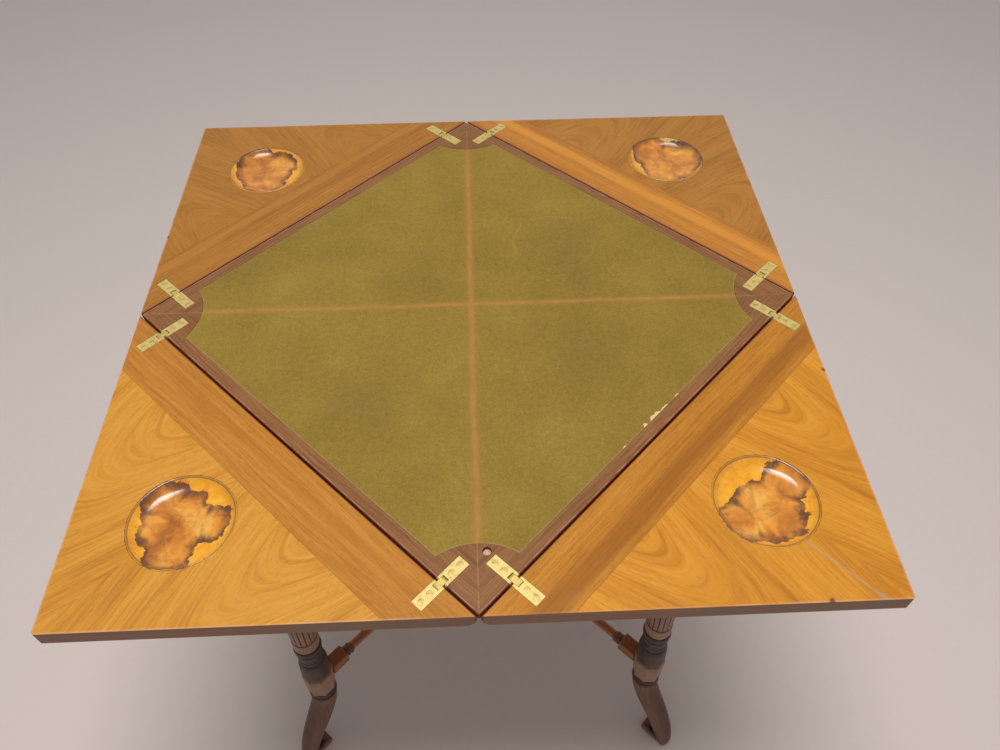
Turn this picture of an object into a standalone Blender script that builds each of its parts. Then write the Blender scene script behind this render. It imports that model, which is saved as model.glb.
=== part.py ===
"""Envelope card table, open: a square board that turns on a frame, with four triangular flaps.

Metres, +Z up. The origin is on the floor under the middle of the table, and +Y is its back.
The board stands at 45 degrees to the frame, so that the frame's corners carry the open flaps.
"""

import math

import bpy
from mathutils import Matrix, Vector

# Driving dimensions of the whole table
TABLE_HEIGHT = 0.740
BOARD_SIDE = 0.550
LEAF_THICKNESS = 0.019
OPEN_TURN = math.radians(45)

# Clearances
SEAT_GAP = 0.0003
LEAF_GAP = 0.002
FLAP_SIDE_GAP = 0.0004
PIN_CLEARANCE = 0.00012
CUT_OVERRUN = 0.002
LAP = 0.0012

# Edges of the board and of the flaps
MOULDING_WIDTH = 0.0075
MOULDING_HEIGHT = 0.0135
ARRIS_RADIUS = 0.001
TIP_BLUNT = 0.0012
MOULDING_STEPS = 4
ARRIS_STEPS = 1

# Playing cloth and its wooden border
BORDER_WIDTH = 0.0143
CLOTH_CORNER_RADIUS = 0.071
CLOTH_THICKNESS = 0.0009
CLOTH_ARC_STEPS = 8

# Counter dishes
CUP_RADIUS = 0.0525
CUP_THICKNESS = 0.0125
CUP_DEPTH = 0.0095
CUP_FROM_HINGE_EDGE = 0.1224
CUP_SEGMENTS = 30
# Inside of a dish from the rim to the floor: share of its radius, share of its depth
CUP_SHARES = ((0.982, 0.00), (0.960, 0.06), (0.93, 0.27), (0.875, 0.56), (0.79, 0.82), (0.64, 1.00))

# Link hinges
HINGE_FROM_CORNER = 0.047
STRAP_LENGTH = 0.0297
STRAP_WIDTH = 0.0130
STRAP_THICKNESS = 0.0025
CHEEK_DEPTH = 0.0061
CHEEK_BACK = 0.0017
PIN_FROM_EDGE = 0.003
PIN_DEPTH = 0.003
PIN_RADIUS = 0.0012
LINK_RADIUS = 0.0029
LINK_WIDTH = 0.0070
SCREW_HEAD_RADIUS = 0.0034
SCREW_SHANK_RADIUS = 0.0017
SCREW_PLACE_SHARES = (0.44, 0.81)
PIN_SEGMENTS = 10
SCREW_SEGMENTS = 8
LINK_END_STEPS = 5

# Lifting peg, in a stepped hole beside the front corner's mitre
PEG_RIGHT = 0.0090
PEG_FORWARD = 0.3263
PEG_RADIUS = 0.0042
PEG_HOLE_RADIUS = 0.0045
PEG_REST_DEPTH = 0.004
PEG_TRAVEL = 0.0055
PEG_HEAD_RADIUS = 0.0090
PEG_HEAD_HEIGHT = 0.0030
PEG_HEAD_GAP = 0.0005
KEEPER_RADIUS = 0.0130
KEEPER_THICKNESS = 0.0015
KEEPER_HOLE_RADIUS = 0.0060
PEG_SEGMENTS = 16

# Pivot
PIVOT_FLANGE_RADIUS = 0.0275
PIVOT_FLANGE_THICKNESS = 0.004
PIVOT_RADIUS = 0.008
PIVOT_TAIL = 0.004
PIVOT_RUNNING_GAP = 0.0004
WASHER_RADIUS = 0.020
WASHER_THICKNESS = 0.003
NUT_ACROSS_FLATS = 0.024
NUT_HEIGHT = 0.010
NUT_SIDES = 6
PIVOT_SEGMENTS = 24

# Frame: legs on the diagonals, rails between them, and the bearer that carries the pivot
LEG_TOP_FROM_CENTRE = 0.328
LEG_SPLAY = 0.0365
LEG_BLOCK_SIDE = 0.042
RAIL_HEIGHT = 0.082
RAIL_THICKNESS = 0.020
# How far a rail's face lies behind the faces of the legs' blocks
RAIL_SETBACK = 0.0029
RAIL_BEAD_HEIGHT = 0.006
RAIL_BEAD_REACH = 0.0020
RAIL_BEAD_STEPS = 4
BEARER_WIDTH = 0.060
BEARER_THICKNESS = 0.025

# Leg stretches from the top down
LEG_BLOCK_LENGTH = 0.0907
NECK_LENGTH = 0.028
SHAFT_LENGTH = 0.236
RINGS_LENGTH = 0.070
DOME_LENGTH = 0.043
OCTAGON_LENGTH = 0.057
COLLAR_LENGTH = 0.023
LEG_RADIUS = 0.0205
LEG_SEGMENTS = 16
BLOCK_ARRIS = 0.0015
OCTAGON_SIDES = 8
OCTAGON_TOP_APOTHEM = 0.0208
OCTAGON_END_APOTHEM = 0.0196
OCTAGON_SHOULDER_APOTHEM = 0.0170
OCTAGON_SHOULDER_HEIGHT = 0.008
SHAFT_TOP_RADIUS = 0.0202
SHAFT_END_RADIUS = 0.0174
REED_COUNT = 16
REED_GROOVE_DEPTH = 0.0016
REED_END_LENGTH = 0.006
# Half of a groove's width as a share of the distance from groove to groove
REED_GROOVE_SHARE = 0.2

# Turned stretches: share of the stretch's length from its top down, share of LEG_RADIUS
NECK_SHARES = (
    (0.00, 0.93),
    (0.12, 1.01),
    (0.34, 1.01),
    (0.44, 0.87),
    (0.70, 0.84),
    (0.76, 1.02),
    (1.00, 1.02),
)
RINGS_SHARES = (
    (0.03, 0.80),
    (0.08, 0.80),
    (0.10, 0.89),
    (0.33, 0.89),
    (0.36, 0.86),
    (0.42, 0.93),
    (0.50, 0.91),
    (0.56, 0.84),
    (0.62, 0.89),
    (0.67, 0.88),
    (0.73, 0.82),
    (0.85, 0.82),
    (0.91, 0.865),
    (0.97, 0.86),
)
DOME_SHARES = ((0.02, 0.83), (0.10, 0.92), (0.34, 0.99), (0.66, 1.02), (0.95, 1.035), (1.00, 1.01))
COLLAR_SHARES = (
    (0.08, 0.91),
    (0.20, 0.98),
    (0.42, 0.98),
    (0.48, 0.93),
    (0.56, 0.93),
    (0.65, 1.00),
    (0.92, 1.00),
    (1.00, 0.95),
)

# Lower leg: a shaped piece that curves outwards, narrows to its toe and turns in as a scroll
BEND_DROP = 0.008
INNER_REACH = 0.061
OUTER_REACH = 0.052
OUTER_EASE_SHARE = 0.75
LOWER_LEG_TOP_HALF = 0.0172
LOWER_LEG_TOP_WIDTH = 0.0344
LOWER_LEG_TOE_WIDTH = 0.0210
LOWER_LEG_TAPER_SHARE = 0.5
LOWER_LEG_TOP_ROUND = 0.0135
LOWER_LEG_END_ROUND = 0.0110
TOE_HEIGHT = 0.015
TOE_CURVE = 0.0065
SOLE_ROUND = 0.0035
SCROLL_RADIUS = 0.0130
SCROLL_PLACE = 0.0325
SCROLL_CREASE = math.radians(52)
LOWER_LEG_STEPS = 8
TOE_STEPS = 3
SCROLL_STEPS = 7
ROUND_STEPS = 3

# X-stretcher
STRETCHER_FROM_TOP = 0.518
STRETCHER_BLOCK_SIDE = 0.0215
STRETCHER_BLOCK_LENGTH = 0.029
STRETCHER_BLOCK_CHAMFER = 0.0015
STRETCHER_ROD_RADIUS = 0.0085
STRETCHER_SEGMENTS = 14
# Share of the rod's length from the leg's block inwards, share of the rod's radius
ROD_SHARES = (
    (0.000, 0.78),
    (0.006, 1.02),
    (0.030, 1.02),
    (0.040, 0.74),
    (0.300, 0.84),
    (0.560, 1.00),
    (0.850, 0.86),
    (0.930, 0.76),
    (0.945, 1.00),
    (0.975, 1.00),
    (1.000, 0.80),
)
BOSS_RADIUS = 0.034
BOSS_HEIGHT = 0.034
FINIAL_HEIGHT = 0.040
BOSS_SEGMENTS = 24
# Share of the boss's half height from its middle up, share of its radius
BOSS_SHARES = (
    (-1.00, 0.55),
    (-0.92, 0.66),
    (-0.84, 0.92),
    (-0.74, 1.00),
    (0.74, 1.00),
    (0.84, 0.92),
    (0.92, 0.66),
)
# Share of the finial's height from the boss up, share of the boss's radius
FINIAL_SHARES = (
    (0.00, 0.56),
    (0.10, 0.54),
    (0.16, 0.34),
    (0.28, 0.26),
    (0.38, 0.38),
    (0.54, 0.47),
    (0.70, 0.44),
    (0.84, 0.30),
    (0.93, 0.16),
    (1.00, 0.06),
)

# Where each flap lies in the board's own frame, as an angle about the pivot
FLAP_SIDES = {
    "back_right": math.radians(0),
    "back_left": math.radians(90),
    "front_left": math.radians(180),
    "front_right": math.radians(270),
}
# Where each leg and stretcher arm stands, as an angle about the pivot
LEG_SIDES = {
    "back_right": math.radians(45),
    "back_left": math.radians(135),
    "front_left": math.radians(225),
    "front_right": math.radians(315),
}
# Which way each rail faces
RAIL_SIDES = {
    "right": math.radians(0),
    "back": math.radians(90),
    "left": math.radians(180),
    "front": math.radians(270),
}

# Sizes that follow from those above
DIAGONAL_SHARE = math.sqrt(0.5)
RAIL_FACE_FROM_CENTRE = LEG_TOP_FROM_CENTRE * DIAGONAL_SHARE + LEG_BLOCK_SIDE / 2 - RAIL_SETBACK
HALF_BOARD = BOARD_SIDE / 2
SLOT_WIDTH = LINK_WIDTH + 2 * SEAT_GAP
SLOT_LENGTH = PIN_FROM_EDGE + LINK_RADIUS + SEAT_GAP
PIN_SPACING = LEAF_GAP + 2 * PIN_FROM_EDGE
HINGE_FROM_MIDDLE = HALF_BOARD - HINGE_FROM_CORNER
KEEPER_SEAT = KEEPER_THICKNESS + SEAT_GAP - LEAF_THICKNESS
FRAME_TOP = TABLE_HEIGHT - LEAF_THICKNESS - SEAT_GAP
STRETCHER_HEIGHT = TABLE_HEIGHT - STRETCHER_FROM_TOP
OCTAGON_HALF_TURN = math.pi / OCTAGON_SIDES
SHAFT_TOP = FRAME_TOP - LEG_BLOCK_LENGTH - NECK_LENGTH
OCTAGON_TOP = SHAFT_TOP - SHAFT_LENGTH - RINGS_LENGTH - DOME_LENGTH


def clear_scene():
    """Removes whatever the file held before."""
    for obj in list(bpy.data.objects):
        bpy.data.objects.remove(obj, do_unlink=True)


def finish(name, colour, roughness, metallic=0.0):
    """A plain Principled material."""
    material = bpy.data.materials.new(name)
    material.use_nodes = True
    shader = material.node_tree.nodes["Principled BSDF"]
    shader.inputs["Base Color"].default_value = (*colour, 1.0)
    shader.inputs["Roughness"].default_value = roughness
    shader.inputs["Metallic"].default_value = metallic
    return material


def make_finishes():
    """The table's materials by name."""
    return {
        "board": finish("board_walnut", (0.30, 0.17, 0.10), 0.35),
        "flap": finish("flap_walnut", (0.55, 0.29, 0.10), 0.30),
        "burr": finish("burr_walnut", (0.48, 0.24, 0.08), 0.15),
        "frame": finish("frame_walnut", (0.16, 0.09, 0.06), 0.40),
        "peg": finish("peg_wood", (0.65, 0.42, 0.28), 0.60),
        "baize": finish("green_baize", (0.29, 0.22, 0.04), 0.95),
        "brass": finish("hinge_brass", (0.80, 0.62, 0.28), 0.30, 1.0),
        "iron": finish("pivot_iron", (0.12, 0.11, 0.10), 0.50, 1.0),
    }


def solid(name, points, faces, material=None):
    """An object with this mesh."""
    mesh = bpy.data.meshes.new(name)
    mesh.from_pydata([tuple(point) for point in points], [], faces)
    mesh.validate()
    if material:
        mesh.materials.append(material)
    obj = bpy.data.objects.new(name, mesh)
    bpy.context.scene.collection.objects.link(obj)
    return obj


def stack(name, rings, material=None):
    """A closed solid through rings of as many points each, capped at both ends.

    Each ring runs anticlockwise seen from the end towards which the rings go.
    """
    count = len(rings[0])
    points = [point for ring in rings for point in ring]
    faces = [tuple(reversed(range(count)))]
    for level in range(len(rings) - 1):
        low = level * count
        for i in range(count):
            j = (i + 1) % count
            faces.append((low + i, low + j, low + count + j, low + count + i))
    faces.append(tuple(range(len(points) - count, len(points))))
    return solid(name, points, faces, material)


def circle(radius, height, segments, start=0.0):
    """Points of a level circle about the Z axis."""
    step = math.tau / segments
    return [
        Vector((radius * math.cos(start + step * i), radius * math.sin(start + step * i), height))
        for i in range(segments)
    ]


def lathe(name, profile, segments, material=None):
    """A solid turned about Z through (radius, height) points, from its lower cap to its upper one."""
    return stack(name, [circle(radius, height, segments) for radius, height in profile], material)


def prism(name, outline, low, high, material=None):
    """An outline of (x, z) points, anticlockwise with z up, carried across Y from low to high."""
    rings = [[Vector((x, y, z)) for x, z in outline] for y in (high, low)]
    return stack(name, rings, material)


def slab(name, outline, low, high, material=None):
    """A level outline of (x, y) points given a thickness."""
    rings = [[Vector((point[0], point[1], height)) for point in outline] for height in (low, high)]
    return stack(name, rings, material)


def block(name, low, high, material=None):
    """A box between two corners."""
    outline = [(low[0], low[1]), (high[0], low[1]), (high[0], high[1]), (low[0], high[1])]
    return slab(name, outline, low[2], high[2], material)


def combine(target, operation, tools):
    """Cuts each tool from the target, or joins it on, and keeps only the result."""
    for tool in tools:
        modifier = target.modifiers.new(tool.name, "BOOLEAN")
        modifier.operation = operation
        modifier.solver = "EXACT"
        modifier.object = tool
        tool.hide_render = True
        tool.display_type = "WIRE"
    bpy.context.view_layer.update()
    graph = bpy.context.evaluated_depsgraph_get()
    mesh = bpy.data.meshes.new_from_object(target.evaluated_get(graph))
    materials = list(target.data.materials)
    target.modifiers.clear()
    target.data = mesh
    target.data.materials.clear()
    for material in materials:
        target.data.materials.append(material)
    for tool in tools:
        bpy.data.objects.remove(tool, do_unlink=True)
    return target


def smooth(obj, angle=math.radians(35)):
    """Shades round surfaces smooth and keeps real edges sharp."""
    obj.data.shade_smooth()
    obj.data.set_sharp_from_angle(angle=angle)
    return obj


def shift(obj, x, y, z):
    """Moves a mesh within its own frame."""
    obj.data.transform(Matrix.Translation((x, y, z)))
    return obj


def empty(name, parent, location, turn=0.0):
    """An empty on a joint's axis."""
    axis = bpy.data.objects.new(name, None)
    bpy.context.scene.collection.objects.link(axis)
    return place(axis, parent, location, turn)


def place(obj, parent, location=(0.0, 0.0, 0.0), turn=0.0):
    """Puts a piece in its parent's frame."""
    obj.parent = parent
    obj.location = location
    obj.rotation_euler = (0.0, 0.0, turn)
    return obj


def copy_of(obj, name):
    """Another object with the same mesh."""
    twin = bpy.data.objects.new(name, obj.data)
    bpy.context.scene.collection.objects.link(twin)
    return twin


def inset_outline(lines, inset):
    """Corners between (angle, distance, inset share) lines, each drawn in by its share of inset."""
    corners = []
    for i, (angle_a, reach_a, share_a) in enumerate(lines):
        angle_b, reach_b, share_b = lines[(i + 1) % len(lines)]
        first = reach_a - inset * share_a
        second = reach_b - inset * share_b
        turn = math.sin(angle_b - angle_a)
        x = (first * math.sin(angle_b) - second * math.sin(angle_a)) / turn
        y = (second * math.cos(angle_a) - first * math.cos(angle_b)) / turn
        corners.append((x, y))
    return corners


def edge_steps():
    """(height, inset) steps up a leaf's moulded edge, from its underside to its face."""
    steps = []
    straight = MOULDING_HEIGHT - LEAF_THICKNESS
    for i in range(MOULDING_STEPS, -1, -1):
        angle = math.pi / 2 * i / MOULDING_STEPS
        steps.append((straight - MOULDING_HEIGHT * math.sin(angle), MOULDING_WIDTH * (1 - math.cos(angle))))
    for i in range(ARRIS_STEPS + 1):
        angle = math.pi / 2 * i / ARRIS_STEPS
        steps.append((ARRIS_RADIUS * (math.sin(angle) - 1), ARRIS_RADIUS * (1 - math.cos(angle))))
    return steps


def leaf(name, lines, material):
    """A panel with its face at height zero, moulded under each edge that has an inset share."""
    rings = [
        [Vector((x, y, height)) for x, y in inset_outline(lines, inset)] for height, inset in edge_steps()
    ]
    return stack(name, rings, material)


def strap_outline():
    """Side view of a strap as (x, z), with x running from the leaf's edge into the leaf."""
    cheek_end = SLOT_LENGTH + CHEEK_BACK
    outline = [(0.0, -CHEEK_DEPTH), (cheek_end, -CHEEK_DEPTH), (cheek_end, -STRAP_THICKNESS)]
    outline += [(STRAP_LENGTH, -STRAP_THICKNESS), (STRAP_LENGTH, 0.0)]
    for i in range(ARRIS_STEPS, -1, -1):
        angle = math.pi / 2 * i / ARRIS_STEPS
        outline.append((ARRIS_RADIUS * (1 - math.cos(angle)), ARRIS_RADIUS * (math.sin(angle) - 1)))
    return outline


def pocket_outline():
    """Side view of the cut that lets a strap in, with its clearance all round."""
    cheek_end = SLOT_LENGTH + CHEEK_BACK + SEAT_GAP
    plate = -STRAP_THICKNESS - SEAT_GAP
    floor = -CHEEK_DEPTH - SEAT_GAP
    end = STRAP_LENGTH + SEAT_GAP
    return [
        (-CUT_OVERRUN, floor),
        (cheek_end, floor),
        (cheek_end, plate),
        (end, plate),
        (end, CUT_OVERRUN),
        (-CUT_OVERRUN, CUT_OVERRUN),
    ]


def pocket(name, across):
    """The cutter for one strap, at this place along a leaf's hinge edge."""
    half = STRAP_WIDTH / 2 + SEAT_GAP
    return prism(name, pocket_outline(), across - half, across + half)


def along_y(obj, x, z):
    """Turns a solid made about Z so that it lies along Y through (x, z)."""
    obj.data.transform(Matrix.Translation((x, 0.0, z)) @ Matrix.Rotation(math.pi / 2, 4, "X"))
    return obj


def build_strap(material):
    """A brass strap: a flush plate with two countersunk holes, and two cheeks bored for the pin."""
    half = STRAP_WIDTH / 2
    strap = prism("strap", strap_outline(), -half, half, material)
    reach = CHEEK_DEPTH + CUT_OVERRUN
    slot_half = SLOT_WIDTH / 2
    slot = block("slot", (-CUT_OVERRUN, -slot_half, -reach), (SLOT_LENGTH, slot_half, CUT_OVERRUN))
    bore_end = half + CUT_OVERRUN
    bore_radius = PIN_RADIUS + PIN_CLEARANCE
    bore = lathe("bore", ((bore_radius, -bore_end), (bore_radius, bore_end)), PIN_SEGMENTS)
    tools = [slot, along_y(bore, PIN_FROM_EDGE, -PIN_DEPTH)]
    sink = SCREW_SHANK_RADIUS - SCREW_HEAD_RADIUS
    profile = (
        (SCREW_SHANK_RADIUS, -STRAP_THICKNESS - CUT_OVERRUN),
        (SCREW_SHANK_RADIUS, sink),
        (SCREW_HEAD_RADIUS, 0.0),
        (SCREW_HEAD_RADIUS, CUT_OVERRUN),
    )
    for share in SCREW_PLACE_SHARES:
        hole = lathe("screw_hole", profile, SCREW_SEGMENTS)
        tools.append(shift(hole, STRAP_LENGTH * share, 0.0, 0.0))
    return combine(strap, "DIFFERENCE", tools)


def build_link(material):
    """The link and its two pins. Its origin is on the pin that turns in the board's strap."""
    outline = []
    for centre, start in ((PIN_SPACING, -math.pi / 2), (0.0, math.pi / 2)):
        for i in range(LINK_END_STEPS + 1):
            angle = start + math.pi * i / LINK_END_STEPS
            outline.append((centre + LINK_RADIUS * math.cos(angle), LINK_RADIUS * math.sin(angle)))
    half = LINK_WIDTH / 2
    link = prism("link", outline, -half, half, material)
    pin_end = STRAP_WIDTH / 2 - SEAT_GAP
    pins = []
    for x in (0.0, PIN_SPACING):
        pin = lathe("pin", ((PIN_RADIUS, -pin_end), (PIN_RADIUS, pin_end)), PIN_SEGMENTS)
        pins.append(along_y(pin, x, 0.0))
    return smooth(combine(link, "UNION", pins))


def cloth_outline(shrink=0.0):
    """The cloth's outline: a square whose corners are scooped out about the board's corners."""
    edge = HALF_BOARD - BORDER_WIDTH - shrink
    radius = CLOTH_CORNER_RADIUS + shrink
    margin = math.asin((HALF_BOARD - edge) / radius)
    points = []
    for quarter in range(4):
        turn = Matrix.Rotation(math.pi / 2 * quarter, 2)
        for i in range(CLOTH_ARC_STEPS + 1):
            angle = margin + (math.pi / 2 - 2 * margin) * i / CLOTH_ARC_STEPS
            x = HALF_BOARD - radius * math.sin(angle)
            y = HALF_BOARD - radius * math.cos(angle)
            points.append(turn @ Vector((x, y)))
    return points


def peg_place():
    """Where the peg stands in the board's own frame."""
    spot = Matrix.Rotation(-OPEN_TURN, 2) @ Vector((PEG_RIGHT, -PEG_FORWARD))
    return (spot.x, spot.y, 0.0)


def peg_hole():
    """The cutter for the peg's stepped hole and its keeper."""
    ceiling = KEEPER_SEAT + PEG_HEAD_HEIGHT + PEG_TRAVEL + PEG_HEAD_GAP
    profile = (
        (KEEPER_RADIUS + SEAT_GAP, -LEAF_THICKNESS - CUT_OVERRUN),
        (KEEPER_RADIUS + SEAT_GAP, KEEPER_SEAT),
        (PEG_HEAD_RADIUS + PEG_HEAD_GAP, KEEPER_SEAT),
        (PEG_HEAD_RADIUS + PEG_HEAD_GAP, ceiling),
        (PEG_HOLE_RADIUS, ceiling),
        (PEG_HOLE_RADIUS, CUT_OVERRUN),
    )
    return shift(lathe("peg_hole", profile, PEG_SEGMENTS), *peg_place())


def build_board(material):
    """The centre panel, cut for the cloth, the hinges, the peg and the pivot's flange."""
    corner_share = 1 / DIAGONAL_SHARE
    tip = HALF_BOARD * corner_share - TIP_BLUNT
    lines = []
    for turn in FLAP_SIDES.values():
        lines.append((turn, HALF_BOARD, 1.0))
        lines.append((turn + math.pi / 4, tip, corner_share))
    board = leaf("board", lines, material)
    tools = [slab("cloth_recess", cloth_outline(), -CLOTH_THICKNESS - SEAT_GAP, CUT_OVERRUN)]
    for side, turn in FLAP_SIDES.items():
        for across in (-HINGE_FROM_MIDDLE, HINGE_FROM_MIDDLE):
            cutter = pocket("pocket_" + side, across)
            to_edge = Matrix.Translation((-HALF_BOARD, 0.0, 0.0))
            cutter.data.transform(Matrix.Rotation(turn + math.pi, 4, "Z") @ to_edge)
            tools.append(cutter)
    tools.append(peg_hole())
    radius = PIVOT_FLANGE_RADIUS + SEAT_GAP
    top = PIVOT_FLANGE_THICKNESS + SEAT_GAP - LEAF_THICKNESS
    low = -LEAF_THICKNESS - CUT_OVERRUN
    tools.append(lathe("pivot_seat", ((radius, low), (radius, top)), PIVOT_SEGMENTS))
    return combine(board, "DIFFERENCE", tools)


def build_flap(material):
    """A flap with its hinge edge on the Y axis and its point towards +X."""
    side_reach = HALF_BOARD * DIAGONAL_SHARE - FLAP_SIDE_GAP
    tip = side_reach / DIAGONAL_SHARE - TIP_BLUNT
    lines = [
        (-math.pi / 4, side_reach, 0.0),
        (0.0, tip, 0.0),
        (math.pi / 4, side_reach, 0.0),
        (math.pi, 0.0, 1.0),
    ]
    flap = leaf("flap", lines, material)
    radius = CUP_RADIUS + SEAT_GAP
    floor = -CUP_THICKNESS - SEAT_GAP
    well = lathe("cup_well", ((radius, floor), (radius, CUT_OVERRUN)), CUP_SEGMENTS)
    tools = [shift(well, CUP_FROM_HINGE_EDGE, 0.0, 0.0)]
    for across in (-HINGE_FROM_MIDDLE, HINGE_FROM_MIDDLE):
        tools.append(pocket("flap_pocket", across))
    return combine(flap, "DIFFERENCE", tools)


def build_cup(material):
    """A turned dish: a low rim, and a smooth hollow with a flat floor."""
    ease = CUP_RADIUS * (1 - CUP_SHARES[0][0])
    profile = [(CUP_RADIUS, -CUP_THICKNESS), (CUP_RADIUS, -ease)]
    profile += [(CUP_RADIUS * reach, -CUP_DEPTH * depth) for reach, depth in CUP_SHARES]
    return smooth(lathe("cup", profile, CUP_SEGMENTS, material), math.radians(60))


def build_peg(material):
    """The stepped peg. Its origin is over its axis, at the board's face."""
    ease = PEG_HOLE_RADIUS - PEG_RADIUS
    head_top = KEEPER_SEAT + PEG_HEAD_HEIGHT
    profile = (
        (PEG_HEAD_RADIUS, KEEPER_SEAT),
        (PEG_HEAD_RADIUS, head_top),
        (PEG_RADIUS, head_top),
        (PEG_RADIUS, -PEG_REST_DEPTH - ease),
        (PEG_RADIUS - ease, -PEG_REST_DEPTH),
    )
    return smooth(lathe("lifting_peg", profile, PEG_SEGMENTS, material))


def bored(plate, radius, low, high, segments):
    """A plate between two heights with a round hole through it."""
    hole = lathe("hole", ((radius, low - CUT_OVERRUN), (radius, high + CUT_OVERRUN)), segments)
    return smooth(combine(plate, "DIFFERENCE", [hole]))


def build_pivot(material):
    """The flanged bolt, its washer and its nut, in the top's frame with the board's face at zero."""
    underside = -LEAF_THICKNESS
    washer_top = underside - SEAT_GAP - BEARER_THICKNESS - SEAT_GAP
    washer_low = washer_top - WASHER_THICKNESS
    nut_top = washer_low - SEAT_GAP
    nut_low = nut_top - NUT_HEIGHT
    profile = (
        (PIVOT_RADIUS, nut_low - PIVOT_TAIL),
        (PIVOT_RADIUS, underside),
        (PIVOT_FLANGE_RADIUS, underside),
        (PIVOT_FLANGE_RADIUS, underside + PIVOT_FLANGE_THICKNESS),
    )
    bolt = smooth(lathe("pivot_bolt", profile, PIVOT_SEGMENTS, material))
    radius = PIVOT_RADIUS + PIVOT_RUNNING_GAP
    disc = lathe(
        "pivot_washer", ((WASHER_RADIUS, washer_low), (WASHER_RADIUS, washer_top)), PIVOT_SEGMENTS, material
    )
    washer = bored(disc, radius, washer_low, washer_top, PIVOT_SEGMENTS)
    corner = NUT_ACROSS_FLATS / 2 / math.cos(math.pi / NUT_SIDES)
    hexagon = slab("pivot_nut", circle(corner, 0.0, NUT_SIDES), nut_low, nut_top, material)
    nut = bored(hexagon, radius, nut_low, nut_top, PIVOT_SEGMENTS)
    return bolt, washer, nut


def build_top(finishes):
    """The board and all that turns with it."""
    swivel = empty("swivel_axis", None, (0.0, 0.0, TABLE_HEIGHT), OPEN_TURN)
    place(build_board(finishes["board"]), swivel)
    place(slab("baize", cloth_outline(SEAT_GAP), -CLOTH_THICKNESS, 0.0, finishes["baize"]), swivel)
    for piece in build_pivot(finishes["iron"]):
        place(piece, swivel)
    low = -LEAF_THICKNESS
    high = low + KEEPER_THICKNESS
    rim = ((KEEPER_RADIUS, low), (KEEPER_RADIUS, high))
    disc = lathe("peg_keeper", rim, PEG_SEGMENTS, finishes["brass"])
    place(bored(disc, KEEPER_HOLE_RADIUS, low, high, PEG_SEGMENTS), swivel, peg_place())
    peg_axis = empty("peg_axis", swivel, peg_place())
    place(build_peg(finishes["peg"]), peg_axis)
    build_flaps(finishes, swivel)


def build_flaps(finishes, swivel):
    """Four flaps, each on two link hinges that share their pins' axes."""
    strap = build_strap(finishes["brass"])
    link = build_link(finishes["brass"])
    flap = build_flap(finishes["flap"])
    cup = build_cup(finishes["burr"])
    for side, turn in FLAP_SIDES.items():
        to_side = Matrix.Rotation(turn, 3, "Z")
        first_pin = to_side @ Vector((HALF_BOARD - PIN_FROM_EDGE, 0.0, -PIN_DEPTH))
        link_axis = empty("link_axis_" + side, swivel, first_pin, turn)
        flap_axis = empty("flap_axis_" + side, link_axis, (PIN_SPACING, 0.0, 0.0))
        place(copy_of(flap, "flap_" + side), flap_axis, (-PIN_FROM_EDGE, 0.0, PIN_DEPTH))
        cup_reach = CUP_FROM_HINGE_EDGE - PIN_FROM_EDGE
        place(copy_of(cup, "cup_" + side), flap_axis, (cup_reach, 0.0, PIN_DEPTH))
        for letter, across in (("a", -HINGE_FROM_MIDDLE), ("b", HINGE_FROM_MIDDLE)):
            tail = side + "_" + letter
            at_edge = to_side @ Vector((HALF_BOARD, across, 0.0))
            place(copy_of(strap, "board_strap_" + tail), swivel, at_edge, turn + math.pi)
            place(copy_of(strap, "flap_strap_" + tail), flap_axis, (-PIN_FROM_EDGE, across, PIN_DEPTH))
            place(copy_of(link, "hinge_link_" + tail), link_axis, (0.0, across, 0.0))
    for pattern in (strap, link, flap, cup):
        bpy.data.objects.remove(pattern, do_unlink=True)


def splay_at(height):
    """How far a leg's axis has moved out at this height."""
    return LEG_SPLAY * (FRAME_TOP - height)


def turned(shares, top, length):
    """(radius, height) points of a turned stretch, from the top down."""
    return [(LEG_RADIUS * radius, top - length * down) for down, radius in shares]


def turning(name, points, top_lap=0.0):
    """A turned piece from (radius, height) points that run down, with a tenon of top_lap above."""
    points = list(points)
    if top_lap:
        points.insert(0, (points[0][0], points[0][1] + top_lap))
    return lathe(name, list(reversed(points)), LEG_SEGMENTS)


def reeded_shaft(top, bottom):
    """The tapered shaft: rounded reeds between narrow grooves that run out at its lower end."""
    step = math.tau / REED_COUNT
    cross_section = ((0.0, 1.0), (REED_GROOVE_SHARE, 0.0), (1.0 - REED_GROOVE_SHARE, 0.0))
    stations = (
        (bottom, 0.0),
        (bottom + REED_END_LENGTH, 1.0),
        (bottom + (top - bottom) / 3, 1.0),
        (top + LAP, 1.0),
    )
    rings = []
    for height, cut in stations:
        share = math.sqrt(min((height - bottom) / (top - bottom), 1.0))
        radius = SHAFT_END_RADIUS + (SHAFT_TOP_RADIUS - SHAFT_END_RADIUS) * share
        ring = []
        for i in range(REED_COUNT):
            for part, depth in cross_section:
                reach = radius - REED_GROOVE_DEPTH * depth * cut
                angle = step * (i + part)
                ring.append(Vector((reach * math.cos(angle), reach * math.sin(angle), height)))
        rings.append(ring)
    return stack("reeded_shaft", rings)


def octagon_apothem(height):
    """How far the eight-sided block's faces stand from the leg's axis at this height."""
    edge = OCTAGON_TOP - OCTAGON_SHOULDER_HEIGHT
    down = (edge - height) / (OCTAGON_LENGTH - OCTAGON_SHOULDER_HEIGHT)
    return OCTAGON_TOP_APOTHEM + (OCTAGON_END_APOTHEM - OCTAGON_TOP_APOTHEM) * down


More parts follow.
